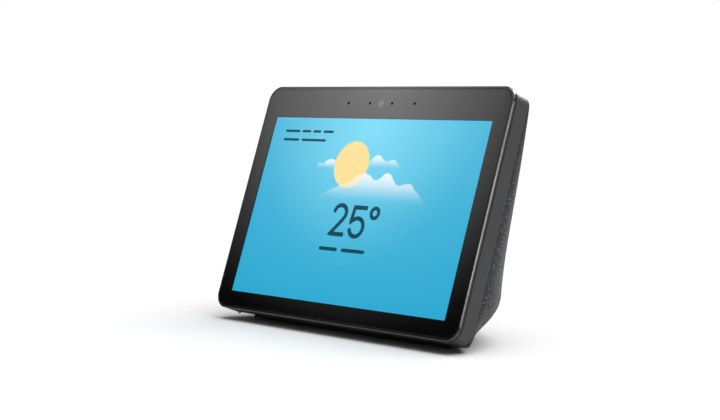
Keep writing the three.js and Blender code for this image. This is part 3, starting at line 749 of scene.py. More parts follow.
# Each cloud has its left and right ends, its foot and fade, how solid it is, and its skyline, left to right.
clouds = {
    "farLeft": {
        "span": (-55, -30), "foot": 29.4, "fade": 7, "solid": 0.9,
        "skyline": [(0, 29.8), (0.1, 30.6), (0.24, 34.0), (0.38, 33.4), (0.55, 36.2), (0.8, 37.0), (1, 33)],
    },
    "farRight": {
        "span": (-4, 35), "foot": 31.2, "fade": 10, "solid": 0.95,
        "skyline": [(0, 33.5), (0.14, 35.6), (0.24, 39.6), (0.33, 41.5), (0.43, 40.6), (0.52, 37.9),
                    (0.6, 37.2), (0.68, 38.0), (0.76, 38.5), (0.86, 36.6), (1, 31.4)],
    },
    "near": {
        "span": (-46, 66), "foot": 6.0, "fade": 23, "solid": 0.92,
        "skyline": [(0, 7.2), (0.08, 11.5), (0.2, 17.6), (0.28, 20.6), (0.36, 26.2), (0.41, 27.9),
                    (0.46, 26.6), (0.52, 23.4), (0.56, 24.6), (0.6, 28.4), (0.635, 28.4), (0.68, 24.0),
                    (0.73, 20.4), (0.79, 21.6), (0.83, 21.8), (0.88, 17.8), (0.94, 13.2), (1, 7.0)],
    },
}
cloudEdge = 2.2  # a higher value draws a crisper skyline
curveTop = 60.0  # a curve node holds 0 to 1, so heights are divided by this


def cloudMask(finish, right, up, cloud):
    left, end = cloud["span"]
    share = finish.node("MapRange", {"Value": right, "From Min": float(left), "From Max": float(end)})
    curve = finish.node("FloatCurve", {"Value": share.outputs[0]})
    line = curve.mapping.curves[0]
    for place, height in cloud["skyline"][1:-1]:
        line.points.new(place, height / curveTop)
    for point, (place, height) in zip(line.points, cloud["skyline"]):
        point.location = (place, height / curveTop)
    curve.mapping.update()
    skyline = finish.math("MULTIPLY", curve.outputs[0], curveTop)
    under = finish.math("MULTIPLY", finish.math("SUBTRACT", skyline, up), cloudEdge, True)
    thick = finish.node("MapRange", {"Value": up, "From Min": float(cloud["foot"]),
                                     "From Max": float(cloud["foot"] + cloud["fade"])},
                        interpolation_type="SMOOTHSTEP").outputs[0]
    inside = finish.math("MULTIPLY", finish.math("GREATER_THAN", right, float(left)),
                         finish.math("LESS_THAN", right, float(end)))
    return finish.math("MULTIPLY", finish.math("MULTIPLY", under, inside),
                       finish.math("MULTIPLY", thick, cloud["solid"]))


# A weather picture on the front of the display, with a painted reflection of the glass as a pale patch at
# its top middle, and dull metal round its sides and back.
def litPanel():
    finish = Finish("litPanel", Roughness=0.35, Specular_IOR_Level=0.0)
    place = {"Vector": finish.coordinates.outputs["Object"], "Location": screenCentre,
             "Rotation": (-lean, 0, 0), "Scale": (mm, mm, mm)}
    flat = finish.node("Mapping", place, vector_type="TEXTURE").outputs["Vector"]
    axes = finish.node("SeparateXYZ", {0: flat})
    right, depth, up = axes.outputs["X"], axes.outputs["Y"], axes.outputs["Z"]
    halfWidth, halfHeight = screen["width"] / 2, screen["height"] / 2
    height = finish.node("MapRange", {"Value": up, "From Min": -halfHeight, "From Max": halfHeight})
    sides, bright = screen["skySides"], screen["paintedGlare"]
    # Painted reflection: a round pale patch centred here, where the glass would mirror the bright card.
    glareX, glareY = bright["place"]
    fromPaintedGlare = finish.node("CombineXYZ", {
        "X": finish.math("MULTIPLY", finish.math("SUBTRACT", right, glareX), 1 / bright["reach"]),
        "Y": finish.math("MULTIPLY", finish.math("SUBTRACT", up, glareY), 1 / bright["reach"])}).outputs[0]
    glow = finish.node("TexGradient", {"Vector": fromPaintedGlare}, gradient_type="SPHERICAL").outputs["Fac"]
    fromMiddle = finish.math("MULTIPLY", finish.math("ABSOLUTE", right), 1 / halfWidth)
    side = finish.math("MULTIPLY", finish.math("POWER", fromMiddle, 2.0), sides["share"], True)
    sky = finish.ramp(height.outputs[0], screen["sky"])
    sky = finish.blend(side, sky, (*sides["colour"], 1))
    # the painted reflection of the glass is laid over the sky here
    sky = finish.blend(finish.math("POWER", glow, bright["power"]), sky, (*bright["colour"], 1))
    for name in ("farLeft", "farRight"):
        sky = finish.blend(cloudMask(finish, right, up, clouds[name]), sky, (*screen["farCloud"], 1))
    sunX, sunY = screen["sun"]["place"]
    offset = finish.node("CombineXYZ", {"X": finish.math("SUBTRACT", right, sunX),
                                        "Y": finish.math("SUBTRACT", up, sunY)}).outputs[0]
    reach = finish.node("VectorMath", {0: offset}, operation="LENGTH").outputs["Value"]
    disc = finish.math("MULTIPLY", finish.math("SUBTRACT", screen["sun"]["radius"] + 0.5, reach), 0.9, True)
    sky = finish.blend(disc, sky, (*screen["sun"]["colour"], 1))
    near = cloudMask(finish, right, up, clouds["near"])
    through = finish.math("MULTIPLY", disc, screen["sunThrough"])
    veil = finish.math("MULTIPLY", near, finish.math("SUBTRACT", 1.0, through))
    sky = finish.blend(veil, sky, (*screen["nearCloud"], 1))
    wide = finish.math("LESS_THAN", finish.math("ABSOLUTE", right), halfWidth + screen["bleed"])
    tall = finish.math("LESS_THAN", finish.math("ABSOLUTE", up), halfHeight + screen["bleed"])
    front = finish.math("LESS_THAN", depth, screen["frontDepth"])
    lit = finish.math("MULTIPLY", finish.math("MULTIPLY", wide, tall), front)
    grain = finish.noise(1400, None, 2)
    metal = finish.ramp(grain, [(0.3, (0.012, 0.012, 0.013)), (0.7, (0.02, 0.02, 0.021))])
    finish.drive("Base Color", metal)
    finish.drive("Emission Color", sky)
    finish.drive("Emission Strength", finish.math("MULTIPLY", lit, screen["glow"]))
    return finish.material


# The dark teal of the figures on the screen.
def glowingInk():
    finish = Finish("glowingInk", Roughness=0.5, Specular_IOR_Level=0.0, Base_Color=(0.001, 0.004, 0.006, 1),
                    Emission_Strength=1.0)
    tone = finish.noise(40, None, 2)
    finish.drive("Emission Color", finish.ramp(tone, [(0.3, tinted(screen["ink"], 0.95)),
                                                      (0.7, tinted(screen["ink"], 1.05))]))
    return finish.material


figures = {
    "stroke": 3.15,
    "front": 1.30,  # between the glass and the display
    "back": 1.38,
    "ring": {"radius": 3.6, "place": (20.3, -0.6), "thin": 0.9},
    "two": [(-20.2, -2.1), (-19.3, 0.6), (-17.4, 2.6), (-14.3, 3.4), (-11.2, 2.8), (-8.9, 0.8), (-8.0, -1.8),
            (-8.4, -4.3), (-10.3, -7.1), (-13.6, -10.9), (-17.0, -14.6), (-20.0, -17.7), (-5.9, -17.7)],
    "five": [(12.3, 2.6), (-0.3, 2.6), (-1.3, -8.0), (1.4, -6.1), (4.9, -5.2), (8.6, -6.1), (11.1, -8.8),
             (11.8, -12.0), (10.9, -15.2), (8.6, -17.5), (5.4, -18.3), (2.1, -17.4), (-0.3, -15.3),
             (-1.4, -12.7)],
}


# A denser line through the points, rounded everywhere but at the listed corners.
def smoothed(points, corners=()):
    line = []
    for i in range(len(points) - 1):
        p1, p2 = Vector(points[i]), Vector(points[i + 1])
        p0 = Vector(points[i - 1]) if i > 0 and i not in corners else p1
        p3 = Vector(points[i + 2]) if i + 2 < len(points) and i + 1 not in corners else p2
        for step in range(6):
            t = step / 6
            line.append(0.5 * (2 * p1 + (p2 - p0) * t + (2 * p0 - 5 * p1 + 4 * p2 - p3) * t * t
                               + (3 * p1 - p0 - 3 * p2 + p3) * t ** 3))
    line.append(Vector(points[-1]))
    return line


# A thin raised line on the screen, made as a flat strip with two sides and two ends.
def stroke(name, line, width, finish, cyclic=False):
    rim = [[], []]
    count = len(line)
    for i, point in enumerate(line):
        before = line[(i - 1) % count] if cyclic or i > 0 else point
        after = line[(i + 1) % count] if cyclic or i < count - 1 else point
        into = (point - before).normalized() if (point - before).length > 0 else (after - point).normalized()
        out = (after - point).normalized() if (after - point).length > 0 else into
        way = (into + out).normalized()
        mitre = max(way.dot(into), 0.6)
        side = Vector((-way.y, way.x)) * width / 2 / mitre
        rim[0].append(point + side)
        rim[1].append(point - side)
    front, back = figures["front"], figures["back"]
    middle = face["screenMiddle"]
    rings = []
    for a, b in zip(*rim):
        rings.append([(a.x, front, middle + a.y), (b.x, front, middle + b.y),
                      (b.x, back, middle + b.y), (a.x, back, middle + a.y)])
    return loft(name, rings, [finish], faceFrame, closed=cyclic)


# A plain rounded bar that stands for a word.
def bar(name, left, right, middle, height, finish):
    loop = roundedLoop(right - left, height, height / 2 - 0.01, ((left + right) / 2, middle), 5)
    up = face["screenMiddle"]
    rings = [[(x, depth, up + y) for x, y in loop] for depth in (figures["front"], figures["back"])]
    return loft(name, rings, [finish], faceFrame)


words = [  # left, right, middle, height
    (-95, -78.8, 57.4, 1.9), (-76.3, -66.8, 57.4, 1.9), (-64.3, -55.8, 57.4, 1.9), (-53.3, -42.5, 57.4, 1.9),
    (-95, -77.8, 50.7, 1.9), (-74.8, -48.5, 50.7, 1.9),
    (-27, -8.4, -28.8, 2.6), (-4.2, 19.3, -28.8, 2.6),
]


def makeScreen():
    panel = bpy.data.objects["display_panel"]
    panel.material_slots[0].material = litPanel()
    teal = glowingInk()
    degree = figures["ring"]
    ring = [Vector(point) for point in circle(degree["radius"], *degree["place"], 28)]
    digits = joined("screen_figures", [
        stroke("two", smoothed(figures["two"], (11,)), figures["stroke"], teal),
        stroke("five", smoothed(figures["five"], (1, 2)), figures["stroke"], teal),
        stroke("ring", ring, figures["stroke"] * degree["thin"], teal, cyclic=True),
    ])
    bars = joined("screen_word_bars", [bar(f"bar{i}", *word, teal) for i, word in enumerate(words)])
    for piece in (digits, bars):
        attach(piece, "housing")


makeScreen()
print("screen lit")

glass = {"inset": 2.1, "thickness": 1.1, "bevel": 0.16, "holeRadius": 1.1, "sensorHeight": 160.4,
         "holes": (-33.3, -11.2, 11.2, 33.3), "cameraWindow": 2.7, "pupil": 0.7}


# True inside a loop of (x, y) points.
def within(x, y, loop):
    crossings = 0
    for (x0, y0), (x1, y1) in zip(loop, loop[1:] + loop[:1]):
        if (y0 > y) != (y1 > y) and x < x0 + (y - y0) * (x1 - x0) / (y1 - y0):
            crossings += 1
    return crossings % 2 == 1


# A sheet with an inked border round a clear window and a pale one over the camera that is painted with
# light, bored through for the microphones.
def makeGlass():
    bevel, thickness, sensor = glass["bevel"], glass["thickness"], glass["sensorHeight"]

    def outline(extra):
        inset = glass["inset"] + extra
        return roundedLoop(face["width"] - 2 * inset, face["height"] - 2 * inset, face["radius"] - inset,
                           (0, face["height"] / 2), 14)

    panes = [roundedLoop(screen["width"], screen["height"], 0.5, (0, face["screenMiddle"]), 4),
             circle(glass["cameraWindow"], 0, sensor, 32)]
    bores = [circle(glass["holeRadius"], x, sensor, 20) for x in glass["holes"]]
    bm = bmesh.new()
    ends = []
    for depth, extra in ((0, bevel), (thickness, bevel)):
        loops = [outline(extra), *panes, *bores]
        flat = [Vector(point) for loop in loops for point in loop]
        edges, start = [], 0
        for loop in loops:
            edges += [(start + i, start + (i + 1) % len(loop)) for i in range(len(loop))]
            start += len(loop)
        points, _, triangles, *_ = delaunay_2d_cdt(flat, edges, [], 0, 1e-5)
        verts = [bm.verts.new((p.x * mm, depth * mm, p.y * mm)) for p in points]
        for triangle in triangles:
            centre = sum((points[i] for i in triangle), Vector((0, 0))) / len(triangle)
            if any(within(*centre, bore) for bore in bores):
                continue
            made = bm.faces.new([verts[i] for i in triangle])
            if within(*centre, panes[0]):
                made.material_index = 2 if depth else 1
            # the camera window takes the pale finish, which is painted light over the lens
            elif within(*centre, panes[1]):
                made.material_index = 3
        ends.append(verts)
    count = len(outline(0))
    middle = [[bm.verts.new((x * mm, depth * mm, y * mm)) for x, y in outline(extra)]
              for extra, depth in ((bevel * 0.3, bevel * 0.3), (0, bevel), (0, thickness - bevel),
                                   (bevel * 0.3, thickness - bevel * 0.3))]
    stack = [ends[0][:count], *middle, ends[1][:count]]
    pairs = list(zip(stack, stack[1:]))
    start = count + sum(len(pane) for pane in panes)
    for bore in bores:
        pairs.append((ends[0][start:start + len(bore)], ends[1][start:start + len(bore)]))
        start += len(bore)
    for lower, upper in pairs:
        for i in range(len(lower)):
            after = (i + 1) % len(lower)
            bm.faces.new((lower[i], lower[after], upper[after], upper[i]))
    bmesh.ops.recalc_face_normals(bm, faces=bm.faces)
    mesh = bpy.data.meshes.new("cover_glass")
    bm.to_mesh(mesh)
    bm.free()
    mesh.transform(faceFrame)
    piece = finished("glass_cover", mesh, [ink, clear, bonded, litWindowPaint], 25)
    evenNormals(piece)
    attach(piece, "housing")
    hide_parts("cover_glass")


trim = {  # inset, depth and rounding of each corner of the ring's section
    "section": [(0.1, 2.0, 0.1), (0, 0.64, 0.1), (0.64, 0, 0.1), (1.95, 0, 0.12), (1.95, 1.4, 0),
                (3.8, 1.4, 0), (3.8, 2.0, 0)],
    "cutAngles": (25, 65),  # faces turned this far out from the glass are bare metal
    "cornerSteps": 16,
}

band = {
    "section": [(0.45, 2.1, 0.05), (0.45, 3.2, 0.05), (0, 3.2, 0.2), (0, 15, 0.45), (2.2, 15, 0.25),
                (2.2, 4.1, 0), (8.2, 4.1, 0), (8.2, 2.6, 0), (2.6, 2.6, 0), (2.6, 2.1, 0)],
    "neck": 3.15,  # in front of this depth the band is a neck behind the trim, painted near black as shade in the seam
    "cornerSteps": 18,
}

buttons = {
    "places": {"mute_button": -27, "volume_down_button": 0, "volume_up_button": 27},
    "depth": 9, "width": 16, "across": 5, "top": 174.0,
    "opening": (16.6, 5.6), "openingLow": 165, "chamfer": 0.35,
}


# A section carried round the outline of the face by the frame tree.
def sweptRound(name, part, finish):
    section = filleted([(-inset, depth, radius) for inset, depth, radius in part["section"]])
    values = {
        "Width": face["width"] * mm, "Height": face["height"] * mm, "Corner Radius": face["radius"] * mm,
        "Corner Steps": part["cornerSteps"], "Profile": profileCurve(section), "Material": finish,
    }
    upright = Matrix.Translation((0, 0, face["height"] / 2 * mm)) @ Matrix.Rotation(math.pi / 2, 4, "X")
    return grown(name, sweptFrame, values, None, faceFrame @ upright)


# A pill outline seen from above the band, at some height up the face.
def pillRing(width, across, x, height):
    loop = roundedLoop(width, across, across / 2 - 0.005, (x, buttons["depth"]), 8)
    return [(px, py, height) for px, py in loop]


def makeTrim():
    ring = evenNormals(sweptRound("front_trim_ring", trim, trimBlack))
    ring.data.materials.append(chamferMetal)
    toFace = faceFrame.inverted().to_3x3()
    low, high = (math.cos(math.radians(angle)) for angle in trim["cutAngles"])
    for patch in ring.data.polygons:
        normal = toFace @ patch.normal
        up = (faceFrame.inverted() @ patch.center).z - face["height"] / 2 * mm
        outward = normal.x * patch.center.x + normal.z * up
        patch.material_index = 1 if high < -normal.y < low and outward > 0 else 0
    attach(ring, "housing")
    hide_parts("front_trim")


def makeBand():
    housing = sweptRound("housing_band", band, bandPlastic)
    width, across = buttons["opening"]
    chamfer, top = buttons["chamfer"], face["height"]
    cutters = []
    for x in buttons["places"].values():
        rings = [pillRing(width, across, x, buttons["openingLow"]),
                 pillRing(width, across, x, top - chamfer),
                 pillRing(width + 2 * chamfer + 2, across + 2 * chamfer + 2, x, top + 1)]
        cutters.append(loft("opening", rings, [bandPlastic], faceFrame))
    cutBy(housing, cutters)
    shadeByAngle(housing.data)
    evenNormals(housing)
    neck = band["neck"] * mm
    # The neck is painted near black. This is painted shade in the gap between trim and band.
    housing.data.materials.append(paintedSeamShade)
    for patch in housing.data.polygons:
        if (faceFrame.inverted() @ patch.center).y < neck:
            patch.material_index = 1
    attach(housing, "housing")
    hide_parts("front_housing")


lensUnit = {"back": -2.3, "ringFront": -1.25, "ringRadius": 2.45, "domeFoot": -1.7, "domeRise": 0.35}


# A pale retaining ring round a small domed lens, just behind the glass.
def makeLens():
    seat = Matrix.Translation((0, 0, glass["sensorHeight"] * mm))
    place = faceFrame @ seat @ Matrix.Rotation(math.pi / 2, 4, "X")
    pupil, back = glass["pupil"], lensUnit["back"]
    front, radius = lensUnit["ringFront"], lensUnit["ringRadius"]
    ringSection = [(pupil, back), (radius, back), (radius, front - 0.1), (radius - 0.1, front),
                   (pupil + 0.25, front), (pupil, front - 0.25)]
    ring = turned("lens_ring", ringSection, [palePlastic], place, 48)
    curve = [math.pi / 2 * i / 8 for i in range(9)]
    foot, rise = lensUnit["domeFoot"], lensUnit["domeRise"]
    dome = [(0, back), (pupil, back)] + [(pupil * math.cos(a), foot + rise * math.sin(a)) for a in curve]
    glassDome = turned("lens_dome", dome, [lens], place, 48)
    for piece in (ring, glassDome):
        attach(piece, "housing")
    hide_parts("camera_lens")


makeGlass()
makeLens()
makeTrim()
makeBand()
print("glass, trim and band made")

marks = {"raise": 0.12, "line": 0.55, "ring": 1.15, "slash": 0.9, "arm": 1.3}


def buttonCap(name, x):
    wide, across, top = buttons["width"], buttons["across"], buttons["top"]
    profile = [  # width, depth and height up the face
        (3.0, 3.0, 167.6), (3.0, 3.0, 169.4), (18.4, 6.4, 169.4), (18.4, 6.4, 170.55), (18.2, 6.2, 170.7),
        (wide, across, 170.7), (wide, across, top - 0.55), (wide - 0.12, across - 0.12, top - 0.3),
        (wide - 0.45, across - 0.45, top - 0.1), (wide - 1.0, across - 1.0, top - 0.03),
        (wide - 2.2, across - 2.2, top), (wide - 3.4, across - 3.4, top - 0.02),
    ]
    rings = [pillRing(w, d, x, h) for w, d, h in profile]
    return loft(f"{name}_cap", rings, [bandPlastic], faceFrame, 40)


# A short rounded rib on top of a button.
def raisedLine(x0, y0, x1, y1):
    start, end = Vector((x0, y0)), Vector((x1, y1))
    way = (end - start).normalized() if (end - start).length > 0 else Vector((1, 0))
    side = Vector((-way.y, way.x))
    loops = []
    for reach, height in ((1.0, -0.1), (1.0, 0.6), (0.7, 1.0)):
        loop = []
        for i in range(8):
            angle = math.pi * (i / 7 - 0.5)
            loop.append(end + (way * math.cos(angle) + side * math.sin(angle)) * marks["line"] / 2 * reach)
        for i in range(8):
            angle = math.pi * (i / 7 + 0.5)
            loop.append(start + (way * math.cos(angle) + side * math.sin(angle)) * marks["line"] / 2 * reach)
        level = buttons["top"] + marks["raise"] * height
        loops.append([(p.x, buttons["depth"] + p.y, level) for p in loop])
    return loft("rib", loops, [bandPlastic], faceFrame)


def makeButtons():
    slash, arm = marks["slash"], marks["arm"]
    for name, x in buttons["places"].items():
        cap = evenNormals(buttonCap(name, x))
        if name == "mute_button":
            ring = circle(marks["ring"], x, 0, 20)
            ribs = [raisedLine(*a, *b) for a, b in zip(ring, ring[1:] + ring[:1])]
            ribs.append(raisedLine(x - slash, -slash, x + slash, slash))
        else:
            ribs = [raisedLine(x - arm, 0, x + arm, 0)]
            if name == "volume_up_button":
                ribs.append(raisedLine(x, -arm, x, arm))
        mark = joined(f"{name}_mark", ribs)
        for piece in (cap, mark):
            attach(piece, name)
        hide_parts(name)


makeButtons()
print("buttons made")

casing = {
    "front": 15.3, "bottom": 3.3,
    "round": 29.5, "tuckPower": 2, "sideTuck": 30, "rearTuck": 18,
    "rearTopY": 19.6, "rearTopZ": 165.8, "slope": 0.234, "bulge": 3,
    "fullness": 1.85, "fullAt": 35.8, "squarer": 110,  # the section is roundest at fullAt
    "thickness": 1.0, "softEdge": 1.4,
    "topGap": 1.0,  # how far the cloth's top edge lies under the top of the band
    "levels": 96, "across": 150, "lowDense": 1.6, "cornerDense": 0.45,
    "flat": (0.39, 0.185), "cutArea": 0.052,
}

bay = {"halfWidth": 24.3, "low": 10.7, "high": 27.3, "radius": 3, "cutFrom": 36, "cutTo": 70}


# Height up the face of a point at y and z, all in millimetres.
def upFace(y, z):
    return (y - faceBottom.y / mm) * math.sin(lean) + (z - faceBottom.z / mm) * math.cos(lean)


# Y of the plane at some depth behind the face, at height z, all in millimetres.
def planeY(depth, z):
    return faceBottom.y / mm + (z - faceBottom.z / mm) * math.tan(lean) + depth / math.cos(lean)


def rearY(z):
    drop = (casing["rearTopZ"] - z) / (casing["rearTopZ"] - casing["bottom"])
    bulge = casing["bulge"] * 4 * drop * (1 - drop)
    return casing["rearTopY"] + (casing["rearTopZ"] - z) * casing["slope"] + bulge


# How far out the rounded outline of the face lets the casing go.
def sideLimit(y, z, inset):
    height = upFace(y, z)
    radius = face["radius"] - inset
    top = face["height"] - casing["topGap"] - inset - radius
    over = max(height - top, inset + radius - height, 0)
    return face["width"] / 2 - inset - radius + math.sqrt(max(radius * radius - over * over, 0))


def softMin(a, b, reach):
    overlap = max(reach - abs(a - b), 0) / reach
    return min(a, b) - overlap * overlap * reach / 4


# A point of the casing's skin: a superellipse that is square at the top, rounder below, and tucked under.
def casingPoint(angle, z, inset):
    front = planeY(casing["front"], z)
    power = 2 / (casing["fullness"] + ((z - casing["fullAt"]) / casing["squarer"]) ** 2)
    lowness = min(max((casing["bottom"] + casing["round"] - z) / casing["round"], 0), 1)
    tuck = lowness ** casing["tuckPower"]
    side = math.cos(angle)
    rear = max(math.sin(angle), 0)
    clear = tuck * (1 - (1 - rear) ** 4)
    halfWidth = face["width"] / 2 - inset - casing["sideTuck"] * clear
    depth = max(rearY(z) - front - inset - casing["rearTuck"] * clear, 0)
    y = front + depth * rear ** power
    x = halfWidth * abs(side) ** power
    return Vector((math.copysign(softMin(x, sideLimit(y, z, inset), casing["softEdge"]), side), y, z))


def casingRing(z, inset, across):
    ring = []
    for i in range(across + 1):
        t = i / across
        crowd = math.sin(math.tau * t) / math.tau * casing["cornerDense"]
        ring.append(casingPoint(math.pi * (t - crowd), z, inset))
    return ring


# Where the rear of the casing meets the top of the band.
def topLevel():
    low, high = 150.0, 170.0
    for _ in range(40):
        z = (low + high) / 2
        y = planeY(casing["front"], z)
        if upFace(y, z) < face["height"] - casing["topGap"] and rearY(z) - y > 0.3:
            low = z
        else:
            high = z
    return low


stitching = {
    "pitch": 2.0, "length": 0.85, "thick": 0.6, "low": 5.0,
    "fromBand": 1.0, "fromBay": 1.3, "proud": 0.08,
}


# The point on the skin at some distance along the cloth from the band.
def skinFromBand(z, distance):
    ring = casingRing(z, -stitching["proud"], casing["across"])
    run = 0.0
    for a, b in zip(ring, ring[1:]):
        step = (b - a).length
        if run + step > distance:
            return a.lerp(b, (distance - run) / step)
        run += step
    return ring[-1]


# The point on the rear skin at some x and height.
def skinBehind(x, z):
    ring = casingRing(z, -stitching["proud"], casing["across"])
    for a, b in zip(ring, ring[1:]):
        if a.x >= x > b.x:
            return a.lerp(b, (a.x - x) / (a.x - b.x))
    return ring[len(ring) // 2]


def stitchRow(name, line, cyclic):
    half, thick = stitching["length"] / 2, stitching["thick"] / 2
    profile = [(0, -half), (thick * 0.7, -half * 0.85), (thick, -half * 0.5), (thick, half * 0.5),
               (thick * 0.7, half * 0.85), (0, half)]
    stitch = turned("stitch", profile, [thread], None, 8)
    values = {"Path": profileCurve(line, cyclic), "Copy": stitch, "Pitch": stitching["pitch"] * mm,
              "Material": thread}
    return grown(name, rowAlongPath, values)


# Running stitches hold the cloth's edge along the band and round the bay.
def makeStitches():
    top = topLevel() - stitching["fromBand"]
    steps = 60
    side = [skinFromBand(stitching["low"] + (top - stitching["low"]) * i / steps, stitching["fromBand"])
            for i in range(steps + 1)]
    across = [p for p in casingRing(top, -stitching["proud"], casing["across"]) if abs(p.x) < side[-1].x - 1]
    line = side + across + [Vector((-p.x, p.y, p.z)) for p in reversed(side)]
    reach = stitching["fromBay"]
    width = 2 * (bay["halfWidth"] + reach)
    height = bay["high"] - bay["low"] + 2 * reach
    loop = roundedLoop(width, height, bay["radius"] + reach, (0, (bay["low"] + bay["high"]) / 2), 6)
    mouth = [skinBehind(x, z) for x, z in loop]
    rows = [stitchRow("edgeRow", line, False), stitchRow("bayRow", mouth, True)]
    piece = joined("cloth_stitches", rows)
    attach(piece, "housing")
    return piece


# The skin as a grid of rings, with a UV map in metres of cloth, then given its thickness.
def makeFabric():
    levels, across = casing["levels"], casing["across"]
    top = topLevel()
    rings = []
    for i in range(levels + 1):
        t = i / levels
        z = casing["bottom"] + (top - casing["bottom"]) * t ** casing["lowDense"]
        rings.append(casingRing(z, 0, across))
    bm = bmesh.new()
    grid = [[bm.verts.new(p * mm) for p in ring] for ring in rings]
    uv = bm.loops.layers.uv.new("cloth")
    place = {}
    climb = 0.0
    for j, ring in enumerate(rings):
        if j:
            middle = across // 2
            climb += (ring[middle] - rings[j - 1][middle]).length
        run = [0.0]
        for a, b in zip(ring, ring[1:]):
            run.append(run[-1] + (b - a).length)
        for i, vert in enumerate(grid[j]):
            place[vert] = ((run[i] - run[-1] / 2) * mm, climb * mm)
    for j in range(levels):
        for i in range(across):
            corners = (grid[j][i], grid[j][i + 1], grid[j + 1][i + 1], grid[j + 1][i])
            patch = bm.faces.new(corners)
            for loop in patch.loops:
                loop[uv].uv = place[loop.vert]
    mesh = bpy.data.meshes.new("fabric")
    bm.to_mesh(mesh)
    bm.free()
    cover = finished("fabric_wrap", mesh, [fabric], 50)
    thicken = cover.modifiers.new("thickness", "SOLIDIFY")
    thicken.thickness = casing["thickness"] * mm
    thicken.offset = -1
    thicken.use_even_offset = True
    applied(cover)
    middle = (bay["low"] + bay["high"]) / 2
    loop = roundedLoop(2 * bay["halfWidth"], bay["high"] - bay["low"], bay["radius"], (0, middle), 8)
    rings = [[(x, y, z) for x, z in loop] for y in (bay["cutFrom"], bay["cutTo"])]
    cutBy(cover, [loft("mouth", rings, [fabric])])
    shadeByAngle(cover.data, 50)
    area = sum(polygon.area for polygon in cover.data.polygons) / 2
    print(f"fabric: {area:.4f} square metres, {len(cover.data.polygons)} faces")
    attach(cover, "housing")
    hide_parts("fabric_cover")
    makeStitches()


makeFabric()
print("fabric stretched")

foot = {"inset": 12, "setback": 6, "halfWidth": 100, "low": 0.7, "high": 3.0, "margin": 3.0,
        "ribPitch": 4.0, "ribRadius": 0.7, "shortestRib": 8}


# The casing's lowest section, pulled in and cut straight across the front.
def footOutline(inset):
    ring = casingRing(casing["bottom"], inset, 96)
    front = planeY(15, casing["bottom"]) + foot["setback"] + (inset - foot["inset"])
    half = foot["halfWidth"] - (inset - foot["inset"])
    return [(min(max(p.x, -half), half), max(p.y, front)) for p in ring]


def makeFoot():
    rings = []
    for inset, z in ((foot["inset"] + 0.5, foot["low"]), (foot["inset"], foot["low"] + 0.5),
                     (foot["inset"], foot["high"] - 0.2), (foot["inset"] + 0.2, foot["high"])):
        rings.append([(x, y, z) for x, y in footOutline(inset)])
    pad = loft("pad", rings, [rubber])
    inner = footOutline(foot["inset"] + foot["margin"])
    front = min(y for x, y in inner)
    rear = max(y for x, y in inner)
    ribs = []
    steps = int((rear - front) / foot["ribPitch"])
    section = circle(foot["ribRadius"], 0, 0, 10)
    for i in range(steps + 1):
        y = front + (rear - front - steps * foot["ribPitch"]) / 2 + i * foot["ribPitch"]
        half = max([x for x, py in inner if py >= y - 0.01] or [0]) - 1
        if half < foot["shortestRib"]:
            continue
        path = profileCurve([(-half, y, foot["ribRadius"]), (half, y, foot["ribRadius"])], cyclic=False)
        values = {"Path": path, "Profile": profileCurve(section), "Caps": True, "Material": rubber}
        ribs.append(grown(f"rib{i}", sweptPath, values))
    piece = joined("foot_pad_ribbed", [pad, *ribs])
    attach(piece, "housing")
    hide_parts("foot_pad")


makeFoot()
print("foot made")

screws = {
    "bracket_screw": {"head": 1.8, "rise": 1.2, "shank": 1.1, "length": 2.4},
    "board_screw": {"head": 2.4, "rise": 1.3, "shank": 1.1, "length": 4.0},
    "base_screw": {"head": 3.0, "rise": 1.0, "shank": 1.3, "length": 6.6},
}
threadPitch = 0.5


# A pan head with a cross recess on a shank with turns of thread, pointing down its own Z.
def screwMesh(size):
    head, rise, shank, length = size["head"], size["rise"], size["shank"], size["length"]
    profile = [(0, -length), (shank * 0.6, -length)]
    turns = int(length / threadPitch)
    for i in range(turns):
        z = -length + 0.3 + (length - 0.4) * i / turns
        profile += [(shank * 0.84, z), (shank, z + 0.16), (shank * 0.84, z + 0.32)]
    profile += [(shank * 0.84, 0), (head, 0), (head, rise * 0.55), (head * 0.93, rise * 0.85),
                (head * 0.78, rise), (0, rise)]
    body = turned("screw", profile, [pressedSteel], None, 24)
    slot = head * 0.22
    cutters = []
    for way in (0, 1):
        reach = [(head * 0.62, slot), (slot, head * 0.62)][way]
        rings = [[(x * s, y * s, z) for x, y in ((-reach[0], -reach[1]), (reach[0], -reach[1]),
                                                 (reach[0], reach[1]), (-reach[0], reach[1]))]
                 for z, s in ((rise * 0.35, 0.8), (rise + 0.5, 1.05))]
        cutters.append(loft("cross", rings, [pressedSteel]))
    return cutBy(body, cutters)


# The place under a screw's head: the CAD box's middle, moved along the screw.
def screwSeat(node, size, turn):
    low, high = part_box(node)
    axis = turn @ Vector((0, 0, 1))
    middle = (low + high) / 2
    return middle - axis * (size["rise"] - size["length"]) / 2 * mm


def makeScrews():
    leaning = Matrix.Rotation(-lean, 3, "X") @ Matrix.Rotation(-math.pi / 2, 3, "X")
    upside = Matrix.Rotation(math.pi, 3, "X")
    for family, turn in (("bracket_screw", leaning), ("board_screw", leaning), ("base_screw", upside)):
        size = screws[family]
        nodes = [f"{family}_{i}" for i in range(1, 5)]
        seats = pointsMesh([screwSeat(node, size, turn) for node in nodes])
        values = {"Copy": screwMesh(size), "Turn": turn.to_euler(), "Material": pressedSteel}
        piece = grown(f"{family}s", copiesOnSeats, values, seats)
        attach(piece, "housing")
        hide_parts(*nodes)


makeScrews()
print("screws driven")

nodeFinishes = {
    "steel": pressedSteel, "black_plastic": blackPlastic, "shell_plastic": shellPlastic, "lens_glass": lens,
    "circuit_board": boardGreen, "aluminium": aluminium, "ribbon_film": ribbonFilm, "rubber": rubber,
    "magnet": ferrite, "cone_paper": conePaper, "brass": brass, "lead_jacket": leadJacket,
}

